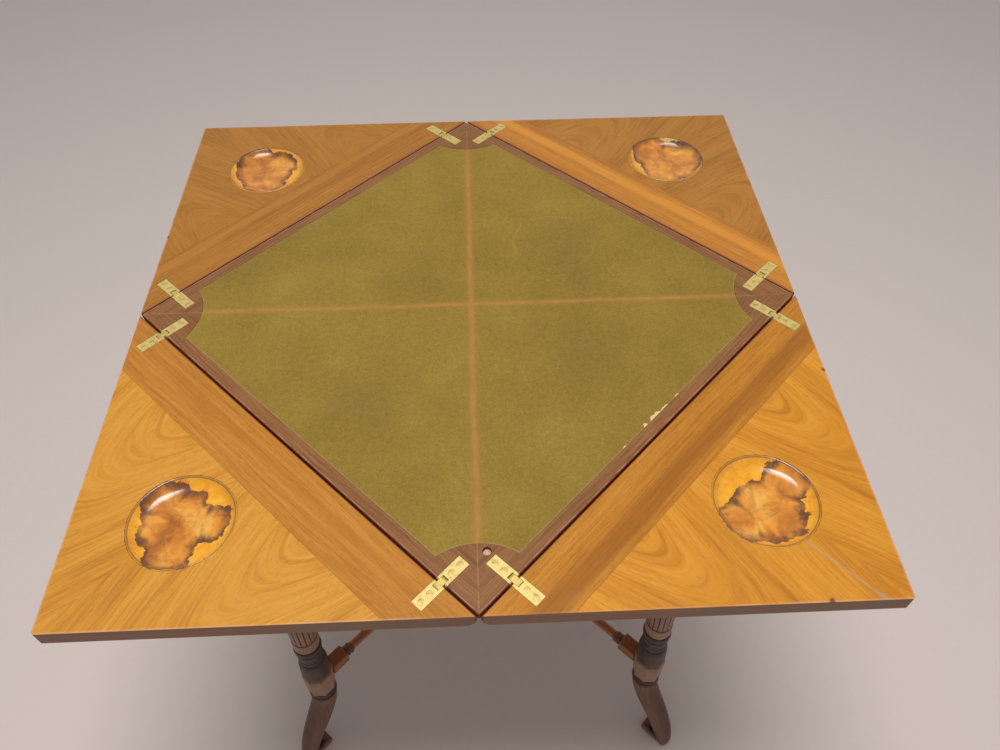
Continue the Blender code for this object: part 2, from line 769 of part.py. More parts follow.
def octagon_block():
    """The tapered eight-sided block that takes the stretcher, with a sloping shoulder."""
    edge = OCTAGON_TOP - OCTAGON_SHOULDER_HEIGHT
    levels = (
        (OCTAGON_END_APOTHEM, OCTAGON_TOP - OCTAGON_LENGTH),
        (OCTAGON_TOP_APOTHEM, edge),
        (OCTAGON_SHOULDER_APOTHEM, OCTAGON_TOP),
        (OCTAGON_SHOULDER_APOTHEM, OCTAGON_TOP + LAP),
    )
    rings = []
    for apothem, height in levels:
        corner = apothem / math.cos(OCTAGON_HALF_TURN)
        rings.append(circle(corner, height, OCTAGON_SIDES, OCTAGON_HALF_TURN))
    return stack("octagon", rings)


def eased(share):
    """A smooth rise from 0 to 1."""
    return share * share * (3 - 2 * share)


def lower_leg_edges(height, length):
    """Where the lower leg's inner and outer edges are at this height."""
    bend = length - BEND_DROP
    share = max(bend - height, 0.0) / bend
    inner = INNER_REACH * eased(share) - LOWER_LEG_TOP_HALF
    outer = OUTER_REACH * eased(share**OUTER_EASE_SHARE) + LOWER_LEG_TOP_HALF
    return inner, outer


def lower_leg_outline(length):
    """Side view of the lower leg, from its inner top to its outer top.

    Each entry is a point and how far the leg's sides round off there.
    """
    crease = SCROLL_RADIUS * (1 + math.sin(SCROLL_CREASE))
    outline = []
    for i in range(LOWER_LEG_STEPS + 1):
        height = length - (length - crease) * i / LOWER_LEG_STEPS
        rounding = LOWER_LEG_END_ROUND + (LOWER_LEG_TOP_ROUND - LOWER_LEG_END_ROUND) * height / length
        outline.append((Vector((lower_leg_edges(height, length)[0], height)), rounding))
    for i in range(1, SCROLL_STEPS + 1):
        angle = SCROLL_CREASE + (3 * math.pi / 2 - SCROLL_CREASE) * i / SCROLL_STEPS
        x = SCROLL_PLACE + SCROLL_RADIUS * math.cos(angle)
        outline.append((Vector((x, SCROLL_RADIUS * (1 + math.sin(angle)))), SOLE_ROUND))
    toe_x = lower_leg_edges(TOE_HEIGHT, length)[1] - TOE_CURVE
    for i in range(TOE_STEPS):
        angle = math.pi / 2 * i / TOE_STEPS - math.pi / 2
        point = Vector((toe_x + TOE_CURVE * math.cos(angle), TOE_HEIGHT * (1 + math.sin(angle))))
        outline.append((point, SOLE_ROUND + (LOWER_LEG_END_ROUND - SOLE_ROUND) * (i + 1) / TOE_STEPS))
    for i in range(LOWER_LEG_STEPS, -1, -1):
        height = length - (length - TOE_HEIGHT) * i / LOWER_LEG_STEPS
        rounding = LOWER_LEG_END_ROUND + (LOWER_LEG_TOP_ROUND - LOWER_LEG_END_ROUND) * height / length
        outline.append((Vector((lower_leg_edges(height, length)[1], height)), rounding))
    return outline


def inward_normals(outline):
    """The direction into an open anticlockwise outline at each of its points."""
    normals = []
    for i in range(len(outline)):
        before = outline[max(i - 1, 0)]
        after = outline[min(i + 1, len(outline) - 1)]
        along = (after - before).normalized()
        normals.append(Vector((-along.y, along.x)))
    return normals


def lower_leg(length):
    """The shaped lower leg and its scroll, rounded towards both sides."""
    outline = lower_leg_outline(length)
    normals = inward_normals([point for point, rounding in outline])
    turns = [math.pi / 2 * i / ROUND_STEPS for i in range(ROUND_STEPS, -1, -1)]
    sides = [(1, turn) for turn in turns] + [(-1, turn) for turn in reversed(turns)]
    rings = []
    for side, turn in sides:
        ring = []
        for (point, rounding), normal in zip(outline, normals):
            share = (point.y / length) ** LOWER_LEG_TAPER_SHARE
            width = LOWER_LEG_TOE_WIDTH + (LOWER_LEG_TOP_WIDTH - LOWER_LEG_TOE_WIDTH) * share
            inwards = point + normal * rounding * (1 - math.cos(turn))
            across = width / 2 - rounding * (1 - math.sin(turn))
            ring.append(Vector((inwards.x, side * across, inwards.y)))
        rings.append(ring)
    return stack("lower_leg", rings)


def build_leg(material):
    """One leg with its axis on Z and its outward side towards +X, then leant outwards."""
    neck = FRAME_TOP - LEG_BLOCK_LENGTH
    ring_top = SHAFT_TOP - SHAFT_LENGTH
    dome = ring_top - RINGS_LENGTH
    collar = OCTAGON_TOP - OCTAGON_LENGTH
    foot = collar - COLLAR_LENGTH
    half = LEG_BLOCK_SIDE / 2
    levels = ((half - BLOCK_ARRIS, neck), (half, neck + BLOCK_ARRIS), (half, FRAME_TOP))
    leg = stack("leg", [circle(side / DIAGONAL_SHARE, height, 4) for side, height in levels], material)
    rings = turned(RINGS_SHARES, ring_top, RINGS_LENGTH) + turned(DOME_SHARES, dome, DOME_LENGTH)
    parts = [
        turning("capital", turned(NECK_SHARES, neck, NECK_LENGTH), LAP),
        reeded_shaft(SHAFT_TOP, ring_top),
        turning("rings", rings, 2 * LAP),
        octagon_block(),
        turning("collar", turned(COLLAR_SHARES, collar, COLLAR_LENGTH), 2 * LAP),
        lower_leg(foot + LAP),
    ]
    combine(leg, "UNION", parts)
    for vertex in leg.data.vertices:
        vertex.co.x += splay_at(vertex.co.z)
    return smooth(leg, math.radians(30))


def build_rail(material):
    """A rail that faces +X between two legs, with a bead along its lower edge."""
    bottom = FRAME_TOP - RAIL_HEIGHT
    inner = RAIL_FACE_FROM_CENTRE - RAIL_THICKNESS
    outline = [(inner, bottom), (RAIL_FACE_FROM_CENTRE, bottom)]
    half_bead = RAIL_BEAD_HEIGHT / 2
    for i in range(1, RAIL_BEAD_STEPS):
        angle = math.pi * i / RAIL_BEAD_STEPS - math.pi / 2
        reach = RAIL_BEAD_REACH * math.cos(angle)
        outline.append((RAIL_FACE_FROM_CENTRE + reach, bottom + half_bead * (1 + math.sin(angle))))
    outline += [(RAIL_FACE_FROM_CENTRE, bottom + RAIL_BEAD_HEIGHT)]
    outline += [(RAIL_FACE_FROM_CENTRE, FRAME_TOP), (inner, FRAME_TOP)]
    rings = []
    for side in (1, -1):
        ring = []
        for x, z in outline:
            leg_middle = (LEG_TOP_FROM_CENTRE + splay_at(z)) * DIAGONAL_SHARE
            ring.append(Vector((x, side * (leg_middle - LEG_BLOCK_SIDE / 2 - SEAT_GAP), z)))
        rings.append(ring)
    return stack("rail", rings, material)


def build_bearer(material):
    """The cross bar that carries the pivot, from the left rail to the right one."""
    reach = RAIL_FACE_FROM_CENTRE - RAIL_THICKNESS - SEAT_GAP
    half = BEARER_WIDTH / 2
    low = FRAME_TOP - BEARER_THICKNESS
    bar = block("pivot_bearer", (-reach, -half, low), (reach, half, FRAME_TOP), material)
    return bored(bar, PIVOT_RADIUS + PIVOT_RUNNING_GAP, low, FRAME_TOP, PIVOT_SEGMENTS)


def stretcher_section(x, side, chamfer):
    """A square section with cut corners, across an arm that runs along X."""
    half = side / 2
    flat = half - chamfer
    corners = (
        (half, -flat),
        (half, flat),
        (flat, half),
        (-flat, half),
        (-half, flat),
        (-half, -flat),
        (-flat, -half),
        (flat, -half),
    )
    return [Vector((x, y, z)) for y, z in corners]


def leg_face(height):
    """How far the eight-sided block's inner face is from the table's middle at this height."""
    return LEG_TOP_FROM_CENTRE + splay_at(height) - octagon_apothem(height)


def build_arm(material):
    """One arm of the stretcher, along +X from the boss to the leg's eight-sided block."""
    face = leg_face(STRETCHER_HEIGHT) - SEAT_GAP
    block_start = face - STRETCHER_BLOCK_LENGTH
    side = STRETCHER_BLOCK_SIDE
    cut = STRETCHER_BLOCK_CHAMFER
    rings = [
        stretcher_section(block_start, side - 2 * cut, cut),
        stretcher_section(block_start + cut, side, cut),
        stretcher_section(face, side, cut),
    ]
    for point in rings[-1]:
        point.x = leg_face(STRETCHER_HEIGHT + point.z) - SEAT_GAP
    arm = stack("arm", rings, material)
    start = BOSS_RADIUS + SEAT_GAP
    length = block_start - start
    profile = []
    for down, radius in reversed(ROD_SHARES):
        profile.append((STRETCHER_ROD_RADIUS * radius, block_start - length * down))
    profile.append((profile[-1][0], block_start + 2 * LAP))
    rod = lathe("rod", profile, STRETCHER_SEGMENTS)
    rod.data.transform(Matrix.Rotation(math.pi / 2, 4, "Y"))
    combine(arm, "UNION", [rod])
    return smooth(arm, math.radians(30))


def build_boss(material):
    """The turned centre of the stretcher, with a small finial."""
    half = BOSS_HEIGHT / 2
    profile = [(BOSS_RADIUS * radius, half * up) for up, radius in BOSS_SHARES]
    profile += [(BOSS_RADIUS * radius, half + FINIAL_HEIGHT * up) for up, radius in FINIAL_SHARES]
    return smooth(lathe("stretcher_boss", profile, BOSS_SEGMENTS, material))


def build_frame(finishes):
    """The legs, rails, bearer and stretcher, which stand still."""
    wood = finishes["frame"]
    leg = build_leg(wood)
    arm = build_arm(wood)
    rail = build_rail(wood)
    for side, turn in LEG_SIDES.items():
        foot = Matrix.Rotation(turn, 3, "Z") @ Vector((LEG_TOP_FROM_CENTRE, 0.0, 0.0))
        place(copy_of(leg, "leg_" + side), None, foot, turn)
        place(copy_of(arm, "stretcher_" + side), None, (0.0, 0.0, STRETCHER_HEIGHT), turn)
    for side, turn in RAIL_SIDES.items():
        place(copy_of(rail, "rail_" + side), None, (0.0, 0.0, 0.0), turn)
    for pattern in (leg, arm, rail):
        bpy.data.objects.remove(pattern, do_unlink=True)
    build_bearer(wood)
    place(build_boss(wood), None, (0.0, 0.0, STRETCHER_HEIGHT))


def main():
    clear_scene()
    finishes = make_finishes()
    build_top(finishes)
    build_frame(finishes)
    bpy.context.view_layer.update()


main()
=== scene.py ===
"""The looks of the envelope card table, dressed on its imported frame.

Lengths are in metres and angles in radians, unless their names or comments say otherwise. A colour is
written as six hexadecimal digits, as it is seen on a screen.
"""

import logging
import math
from collections.abc import Callable, Sequence
from dataclasses import dataclass
from enum import Enum
from typing import TypeAlias

import bpy
import numpy as np
from mathutils import Matrix, Vector


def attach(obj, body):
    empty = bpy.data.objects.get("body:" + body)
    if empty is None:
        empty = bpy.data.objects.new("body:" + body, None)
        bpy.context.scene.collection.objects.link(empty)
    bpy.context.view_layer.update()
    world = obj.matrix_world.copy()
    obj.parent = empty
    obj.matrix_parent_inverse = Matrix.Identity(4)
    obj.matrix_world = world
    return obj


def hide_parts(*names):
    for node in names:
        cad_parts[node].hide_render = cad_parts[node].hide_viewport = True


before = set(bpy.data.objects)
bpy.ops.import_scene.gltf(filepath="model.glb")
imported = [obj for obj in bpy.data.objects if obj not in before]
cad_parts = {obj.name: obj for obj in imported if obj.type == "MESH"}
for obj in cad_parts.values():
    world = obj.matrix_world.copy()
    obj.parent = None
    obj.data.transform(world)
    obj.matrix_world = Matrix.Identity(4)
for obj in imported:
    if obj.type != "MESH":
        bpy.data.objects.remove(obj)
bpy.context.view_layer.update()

log = logging.getLogger("card_table")

Pair: TypeAlias = tuple[float, float]
Triple: TypeAlias = tuple[float, float, float]
Value: TypeAlias = "Socket | float"
Shade: TypeAlias = "Socket | str"

TABLE_TOP = 0.740
FRAME_TOP = 0.7207
HALF_OPEN = 0.3899
HALF_BOARD = 0.275
FLAP_EDGE = 0.277
HALF_CLOTH = HALF_BOARD - 0.0143
SCOOP = 0.071
BOARD_TURN = math.radians(45)
LEG_FROM_CENTRE = 0.328
LEG_SPLAY = 0.0365
STRETCHER_HEIGHT = 0.222


def tone(code: str) -> Triple:
    """A screen colour as the linear values that a shader takes.

    Args:
        code: six hexadecimal digits.

    Returns:
        Red, green and blue.
    """
    shares = (int(code[i : i + 2], 16) / 255 for i in (0, 2, 4))
    red, green, blue = (s / 12.92 if s <= 0.04045 else ((s + 0.055) / 1.055) ** 2.4 for s in shares)
    return red, green, blue


class Side(Enum):
    """The four flaps, by the way that each lies open: an angle about the pivot, in degrees."""

    BACK_RIGHT = 45
    BACK_LEFT = 135
    FRONT_LEFT = 225
    FRONT_RIGHT = 315

    @property
    def label(self) -> str:
        """The side as the frame's names spell it."""
        return self.name.lower()

    @property
    def turn(self) -> float:
        """The side's angle."""
        return math.radians(self.value)

    @property
    def front(self) -> bool:
        """Whether it is one of the two in front."""
        return self.value > 180


def maths(operation: str, swapped: bool = False) -> Callable[..., "Socket"]:
    """Makes an operator for Socket.

    Args:
        operation: the Math node's.
        swapped: whether the other value comes first.

    Returns:
        The operator.
    """

    def operator(value: "Socket", *others: Value) -> "Socket":
        """Adds the Math node."""
        feeds = (*others, value) if swapped else (value, *others)
        return value.nodes.node("ShaderNodeMath", {"operation": operation}, dict(enumerate(feeds)))

    return operator


class Socket:
    """One output of a shader node, with the operators that shader maths needs."""

    __add__ = __radd__ = maths("ADD")
    __mul__ = __rmul__ = maths("MULTIPLY")
    __sub__, __rsub__ = maths("SUBTRACT"), maths("SUBTRACT", swapped=True)
    __truediv__, __rtruediv__ = maths("DIVIDE"), maths("DIVIDE", swapped=True)
    __pow__, __abs__ = maths("POWER"), maths("ABSOLUTE")
    over, least, most = maths("GREATER_THAN"), maths("MINIMUM"), maths("MAXIMUM")
    root, part_of_one = maths("SQRT"), maths("FRACT")

    def __init__(self, nodes: "Nodes", output: bpy.types.NodeSocket) -> None:
        """Holds the output and the builder of its node tree."""
        self.nodes = nodes
        self.output = output

    def __neg__(self) -> "Socket":
        """The value with its sign turned."""
        return self * -1.0

    def rise(self, low: float, high: float, start: float = 0.0, end: float = 1.0) -> "Socket":
        """A smooth step, from start below low to end above high."""
        feeds = {0: self, 1: low, 2: high, 3: start, 4: end}
        return self.nodes.node("ShaderNodeMapRange", {"interpolation_type": "SMOOTHSTEP"}, feeds)

    def fall(self, low: float, high: float, start: float = 1.0) -> "Socket":
        """A smooth step down to 0."""
        return self.rise(low, high, start, 0.0)


def apart(x: Socket, y: Socket, from_x: float = 0.0, from_y: float = 0.0) -> Socket:
    """The distance of x and y from a point."""
    return ((x - from_x) ** 2.0 + (y - from_y) ** 2.0).root()


def on_arris(up: Socket) -> Socket:
    """Whether the surface slopes as an edge's rounding does, from the upward part of its direction."""
    return up.rise(0.3, 0.5) * up.fall(0.93, 0.985)


class Nodes:
    """Builds the nodes of one tree."""

    def __init__(self, tree: bpy.types.NodeTree) -> None:
        """Holds the tree."""
        self.tree = tree

    def feed(self, target: bpy.types.NodeSocket, value: object) -> None:
        """Links a Socket to an input, or sets its number, vector or colour.

        Args:
            target: the input.
            value: what it gets.
        """
        if isinstance(value, Socket):
            self.tree.links.new(value.output, target)
        else:
            target.default_value = (*tone(value), 1.0) if isinstance(value, str) else value

    def node(
        self, kind: str, settings: dict | None = None, feeds: dict | None = None, out: int | str = 0
    ) -> Socket:
        """Adds any node.

        Args:
            kind: its type.
            settings: its properties, set first. A ramp's stops, in rising order, are under "stops".
            feeds: its inputs by number or name.
            out: which output is wanted.

        Returns:
            That output.
        """
        made = self.tree.nodes.new(kind)
        for name, value in (settings or {}).items():
            if name != "stops":
                setattr(made, name, value)
                continue
            elements = made.color_ramp.elements
            while len(elements) < len(value):
                elements.new(1.0)
            for element, (place, colour) in zip(elements, value):
                element.position = place
                element.color = (*tone(colour), 1.0)
        for key, value in (feeds or {}).items():
            self.feed(made.inputs[key], value)
        return Socket(self, made.outputs[out])


class Paint(Nodes):
    """Builds one material."""

    def __init__(self, name: str) -> None:
        """Starts a material with one main shader.

        Args:
            name: its name.
        """
        self.material = bpy.data.materials.new(name)
        self.material.use_nodes = True
        super().__init__(self.material.node_tree)
        self.tree.nodes.clear()
        self.shader = self.tree.nodes.new("ShaderNodeBsdfPrincipled")
        end = self.tree.nodes.new("ShaderNodeOutputMaterial")
        self.tree.links.new(self.shader.outputs[0], end.inputs[0])

    def place(self, turn: float = 0.0, centre: Triple = (0.0, 0.0, 0.0)) -> Socket:
        """Object coordinates.

        Args:
            turn: their turn about the upright axis.
            centre: where they start.

        Returns:
            The coordinates.
        """
        here = self.node("ShaderNodeTexCoord", out="Object")
        feeds = {"Vector": here, "Location": centre, "Rotation": (0.0, 0.0, turn)}
        return self.node("ShaderNodeMapping", {"vector_type": "TEXTURE"}, feeds)

    def split(self, vector: Socket) -> list[Socket]:
        """The three parts of a vector."""
        made = self.node("ShaderNodeSeparateXYZ", feeds={0: vector}).output.node
        return [Socket(self, part) for part in made.outputs]

    def join(self, x: Value, y: Value, z: Value) -> Socket:
        """A vector from three values."""
        return self.node("ShaderNodeCombineXYZ", feeds={0: x, 1: y, 2: z})

    def stretched(self, vector: Socket, scale: Triple) -> Socket:
        """A vector times a number for each axis."""
        return self.node("ShaderNodeVectorMath", {"operation": "MULTIPLY"}, {0: vector, 1: scale})

    def noise(
        self, vector: Socket, scale: float = 1.0, detail: float = 2.0, rough: float = 0.5, warp: float = 0.0
    ) -> Socket:
        """Soft noise from 0 to 1, mostly near a half."""
        feeds = {"Vector": vector, "Scale": scale, "Detail": detail, "Roughness": rough, "Distortion": warp}
        return self.node("ShaderNodeTexNoise", feeds=feeds)

    def cells(self, vector: Socket, scale: float) -> Socket:
        """Distance to the nearest of many scattered points."""
        return self.node("ShaderNodeTexVoronoi", {"feature": "F1"}, {"Vector": vector, "Scale": scale})

    def mix(self, share: Value, first: Shade, second: Shade) -> Socket:
        """A colour between two others."""
        settings = {"data_type": "RGBA", "clamp_factor": True}
        return self.node("ShaderNodeMix", settings, {0: share, 6: first, 7: second}, 2)

    def ramp(self, value: Socket, *stops: tuple[float, str]) -> Socket:
        """A colour looked up by a value."""
        return self.node("ShaderNodeValToRGB", {"stops": stops}, {0: value})

    def stored(self, name: str) -> Socket:
        """A number that the mesh keeps at each point."""
        return self.node("ShaderNodeAttribute", {"attribute_name": name}, out="Fac")

    def facing(self) -> list[Socket]:
        """The surface's own direction, which turns with the piece."""
        return self.split(self.node("ShaderNodeTexCoord", out="Normal"))

    def along_face(self, x: Socket, y: Socket) -> Socket:
        """The level distance along whichever upright face it is.

        Args:
            x: the first of the place's parts.
            y: the second.

        Returns:
            The one that runs along the face.
        """
        nx, ny, _ = self.facing()
        sideways = abs(nx).over(abs(ny))
        return y * sideways + x * (1.0 - sideways)

    def finish(
        self,
        colour: Shade,
        rough: Value,
        height: "Socket | None" = None,
        depth: float = 0.0,
        metal: float = 0.0,
        coat: Value = 0.0,
        coat_rough: float = 0.1,
        gloss: float = 0.5,
    ) -> bpy.types.Material:
        """Feeds the main shader.

        Args:
            colour: base colour.
            rough: roughness.
            height: the relief's pattern.
            depth: how high 1 of the pattern stands.
            metal: share of metal.
            coat: share of clear coat.
            coat_rough: the coat's roughness.
            gloss: strength of the plain reflection.

        Returns:
            The material.
        """
        feeds = {"Base Color": colour, "Roughness": rough, "Metallic": metal, "Coat Weight": coat}
        feeds |= {"Coat Roughness": coat_rough, "Specular IOR Level": gloss}
        if height is not None:
            feeds["Normal"] = self.node("ShaderNodeBump", feeds={"Height": height, "Distance": depth})
        for name, value in feeds.items():
            self.feed(self.shader.inputs[name], value)
        return self.material


@dataclass(frozen=True)
class Grain:
    """How a cut of wood is figured.

    Args:
        streak: width of the broad streaks across the grain.
        reach: how long they run.
        ring: distance between growth lines.
        arch_place: where across the grain the growth lines close in arches.
        arch_width: width of an arch's crown.
        arch_slope: how fast the arches widen along the grain.
        seed: shifts the pattern.
        contrast: how dark the growth lines are.
    """

    streak: float
    reach: float
    ring: float
    arch_place: float = 0.0
    arch_width: float = 0.0
    arch_slope: float = 0.0
    seed: float = 0.0
    contrast: float = 0.30


@dataclass(frozen=True)
class Wood:
    """One wood's colours.

    Args:
        dark: the darkest figure.
        middle: the common colour.
        light: the lightest streaks.
        pore: the pores' colour.
    """

    dark: str
    middle: str
    light: str
    pore: str

    def figure(self, paint: Paint, along: Socket, across: Socket, grain: Grain) -> tuple[Socket, Socket]:
        """Streaks, growth lines, arches and pores.

        The growth lines are level lines of one function of the place: far from an arch it grows with
        the distance across the grain, and near it as the root of a square sum, less a share of the
        distance along the grain, so that the lines close in nested arches.

        Args:
            paint: the material's builder.
            along: distance along the grain.
            across: distance across it.
            grain: the figure's sizes.

        Returns:
            The colour, and a height for the relief.
        """

        def drawn(long: float, wide: float, seed: float, detail: float = 2.0, rough: float = 0.5) -> Socket:
            """Noise so many times finer along and across the growth lines."""
            place = paint.join(along * long, level * wide, grain.seed + seed)
            return paint.noise(place, detail=detail, rough=rough)

        sway = paint.noise(paint.join(along * 4.0, across * 9.0, grain.seed))
        level = across + (sway - 0.5) * 0.026
        if grain.arch_width:
            off = abs(level) - grain.arch_place
            level = (off * off + grain.arch_width**2).root() - along * grain.arch_slope
        broad = drawn(1.0 / grain.reach, 1.0 / grain.streak, 3.1, 3.0, 0.6)
        fine = drawn(14.0, 330.0, 7.7, 3.0, 0.65)
        wander = drawn(9.0, 40.0, 5.3, 1.0)
        line = (level / grain.ring + wander * 1.6).part_of_one()
        lines = line.rise(0.45, 0.93) * line.fall(0.93, 1.0) * drawn(7.0, 22.0, 11.0, 1.0).rise(0.42, 0.64)
        value = broad * 0.36 + fine * 0.34 + drawn(26.0, 620.0, 2.2, 2.0, 0.6) * 0.30
        colour = paint.ramp(value, (0.31, self.dark), (0.50, self.middle), (0.69, self.light))
        colour = paint.mix(lines * grain.contrast, colour, self.dark)
        pores = paint.join(along * 130.0, across * 1500.0, grain.seed)
        pores = paint.noise(pores, rough=0.6).rise(0.56, 0.70)
        return paint.mix(pores * 0.36, colour, self.pore), fine * 0.5 - pores * 0.6 - lines * 0.2


BORDER_WOOD = Wood("6c4224", "926136", "ab774a", "56341c")
EDGE_WOOD = Wood("603216", "8a5024", "a46630", "442210")
FRAME_WOOD = Wood("3a2016", "603c2a", "7e543c", "24140e")
ROD_WOOD = Wood("744022", "b8703e", "da9054", "502c18")
PEG_WOOD = Wood("b08268", "e0b498", "f2d0b8", "966c54")
# Painted shade for the gap between the board and the flaps.
GAP_SHADE = "88381c"


@dataclass(frozen=True)
class FlapFinish:
    """Polished walnut veneer: a cross band along the hinges, and a field laid square to it.

    Args:
        side: which flap.
        field: the field's wood.
        cross: the band's wood.
        grain: the field's figure.
        stripes: in the band, as distance from the pivot, half width, colour and strength.
        chips: dark bruises on the upper edge as x, y and reach.
        band: the cross band's width.
        split_start: where the veneer's split begins.
        split_turn: its direction.
        split_length: its length.
    """

    side: Side
    field: Wood
    cross: Wood
    grain: Grain
    stripes: tuple[tuple[float, float, str, float], ...]
    chips: tuple[Triple, ...] = ()
    band: float = 0.059
    split_start: Triple = (0.305, -0.325, 0.0)
    split_turn: float = math.atan2(-0.065, 0.060)
    split_length: float = 0.088

    def crack(self, paint: Paint, colour: Socket) -> Socket:
        """A pale split in the veneer near the front right corner.

        Args:
            paint: the material's builder.
            colour: the veneer.

        Returns:
            The colour with the split.
        """
        x, y, _ = paint.split(paint.place(self.split_turn, self.split_start))
        line = abs(y + (paint.noise(paint.join(x * 60.0, 0.0, 0.0)) - 0.5) * 0.003)
        length = x.rise(0.0, 0.004) * x.fall(self.split_length - 0.012, self.split_length)
        smudge = apart(x, y * 2.2, self.split_length - 0.004).fall(0.003, 0.010, 0.45)
        return paint.mix((line.fall(0.0002, 0.0019, 0.44) * length).most(smudge), colour, "b8a492")

    def veneer(self, paint: Paint, out: Socket, along_edge: Socket) -> tuple[Socket, Socket]:
        """The field, the cross band with its stripes, and the joint between them.

        Args:
            paint: the material's builder.
            out: distance from the pivot, square to the hinged edge.
            along_edge: distance along that edge.

        Returns:
            The colour and the relief.
        """
        field, field_relief = self.field.figure(paint, out - FLAP_EDGE, along_edge, self.grain)
        grain = Grain(0.013, 0.42, 0.0055, seed=self.side.value * 0.1)
        band, band_relief = self.cross.figure(paint, along_edge, out, grain)
        wobble = paint.noise(paint.join(along_edge * 8.0, out * 20.0, 3.0)) - 0.5
        for middle, half, shade, strength in self.stripes:
            stripe = abs(out + wobble * 0.012 - middle).fall(half * 0.4, half * 1.3, strength)
            band = paint.mix(stripe, band, shade)
        joint = out - FLAP_EDGE - self.band
        in_field = joint.rise(-0.0003, 0.0003)
        colour = paint.mix(in_field, band, field)
        colour = paint.mix(abs(joint).fall(0.0002, 0.0010, 0.20), colour, "704422")
        if self.side is Side.FRONT_RIGHT:
            colour = self.crack(paint, colour)
        return colour, band_relief + in_field * (field_relief - band_relief)

    def make(self) -> bpy.types.Material:
        """Builds the material: veneer on both faces, solid wood on the edges, chips, a painted highlight
        along the upper arrises and painted shade at the gap by the board.

        Returns:
            The material.
        """
        paint = Paint("veneer_" + self.side.label)
        place = paint.place(self.side.turn)
        out, along_edge, height = paint.split(place)
        x, y, _ = paint.split(paint.place())
        up = paint.facing()[2]
        grain = Grain(0.006, 0.25, 0.0040, seed=2.0)
        edge, _ = EDGE_WOOD.figure(paint, paint.along_face(x, y), height, grain)
        grey = paint.noise(paint.join(x, y, height), 9.0).rise(0.42, 0.60, 0.0, 0.6)
        edge = paint.mix(grey, edge, "7c603c")
        veneer, relief = self.veneer(paint, out, along_edge)
        face = up.rise(0.25, 0.55).most((-up).rise(0.90, 0.97))
        colour = paint.mix(face, edge, veneer)
        patchy = paint.noise(place, 60.0).rise(0.3, 0.6, 0.35, 1.0)
        patchy = patchy * paint.noise(place, 5.0, 1.0).rise(0.44, 0.56, 0.2, 0.9)
        # Painted highlight: a pale pink line on the rounded arrises and just inside the outer edge, in
        # patches.
        line = (HALF_OPEN - abs(x).most(abs(y))).fall(0.0010, 0.0019, 0.6) * up.rise(0.5, 0.7)
        colour = paint.mix(on_arris(up).most(line) * patchy * 0.85, colour, "ecba9c")
        for chip_x, chip_y, reach in self.chips:
            far = (apart(x, y, chip_x, chip_y) ** 2.0 + (height - TABLE_TOP + 0.0004) ** 2.0).root()
            far = far + (paint.noise(place, 420.0) - 0.5) * 0.003
            colour = paint.mix(far.fall(reach * 0.3, reach, 0.8), colour, "683620")
        # Painted shade in the gap by the board, on the seam's upward faces; paler and pinker on the back
        # flaps.
        seam = out.fall(FLAP_EDGE + 0.0007, FLAP_EDGE + 0.0017)
        dirt_and_shade = seam * up.rise(0.2, 0.5) * (0.9 if self.side.front else 0.8)
        colour = paint.mix(dirt_and_shade, colour, GAP_SHADE if self.side.front else "a65c42")
        relief = relief * face
        scratches = paint.noise(paint.stretched(place, (900.0, 60.0, 1.0)), detail=1.0).rise(0.66, 0.72)
        rough = 0.30 + relief * 0.10 + scratches * 0.05 + seam * 0.5
        return paint.finish(
            colour, rough, relief, 0.00012, coat=0.12 - seam * 0.12, coat_rough=0.12, gloss=0.18
        )


FLAPS = (
    FlapFinish(
        Side.BACK_RIGHT,
        Wood("985f23", "b77930", "cd8d3e", "7d4c1a"),
        Wood("ac6b25", "cd8532", "df9943", "89521b"),
        Grain(0.024, 0.28, 0.0110, 0.120, 0.060, -0.14, 14.9, 0.05),
        ((0.314, 0.008, "ec9e3e", 0.6), (0.332, 0.005, "a06228", 0.35)),
        ((0.3885, 0.300, 0.0024),),
    ),
    FlapFinish(
        Side.BACK_LEFT,
        Wood("9e6524", "b87a2f", "c98b3e", "824f1a"),
        Wood("9a6124", "b4762e", "c6893e", "7e4c1a"),
        Grain(0.026, 0.30, 0.0110, 0.125, 0.060, -0.14, 9.6, 0.05),
        ((0.326, 0.007, "d69442", 0.25),),
        ((-0.3885, 0.140, 0.0024),),
    ),
    FlapFinish(
        Side.FRONT_LEFT,
        Wood("ba7422", "de9836", "f2b250", "96581a"),
        Wood("a86722", "c88432", "db9946", "86501a"),
        Grain(0.020, 0.26, 0.0090, 0.104, 0.042, -0.24, 1.3, 0.16),
        ((0.300, 0.007, "b06c24", 0.3),),
    ),
    FlapFinish(
        Side.FRONT_RIGHT,
        Wood("ba701a", "de932b", "f2ac40", "965616"),
        Wood("a86620", "c8822c", "dc9840", "865018"),
        Grain(0.018, 0.24, 0.0085, 0.112, 0.042, -0.20, 5.2, 0.12),
        ((0.318, 0.012, "965a1e", 0.55),),
        ((0.3885, -0.120, 0.0040), (0.315, -0.3885, 0.0040)),
    ),
)


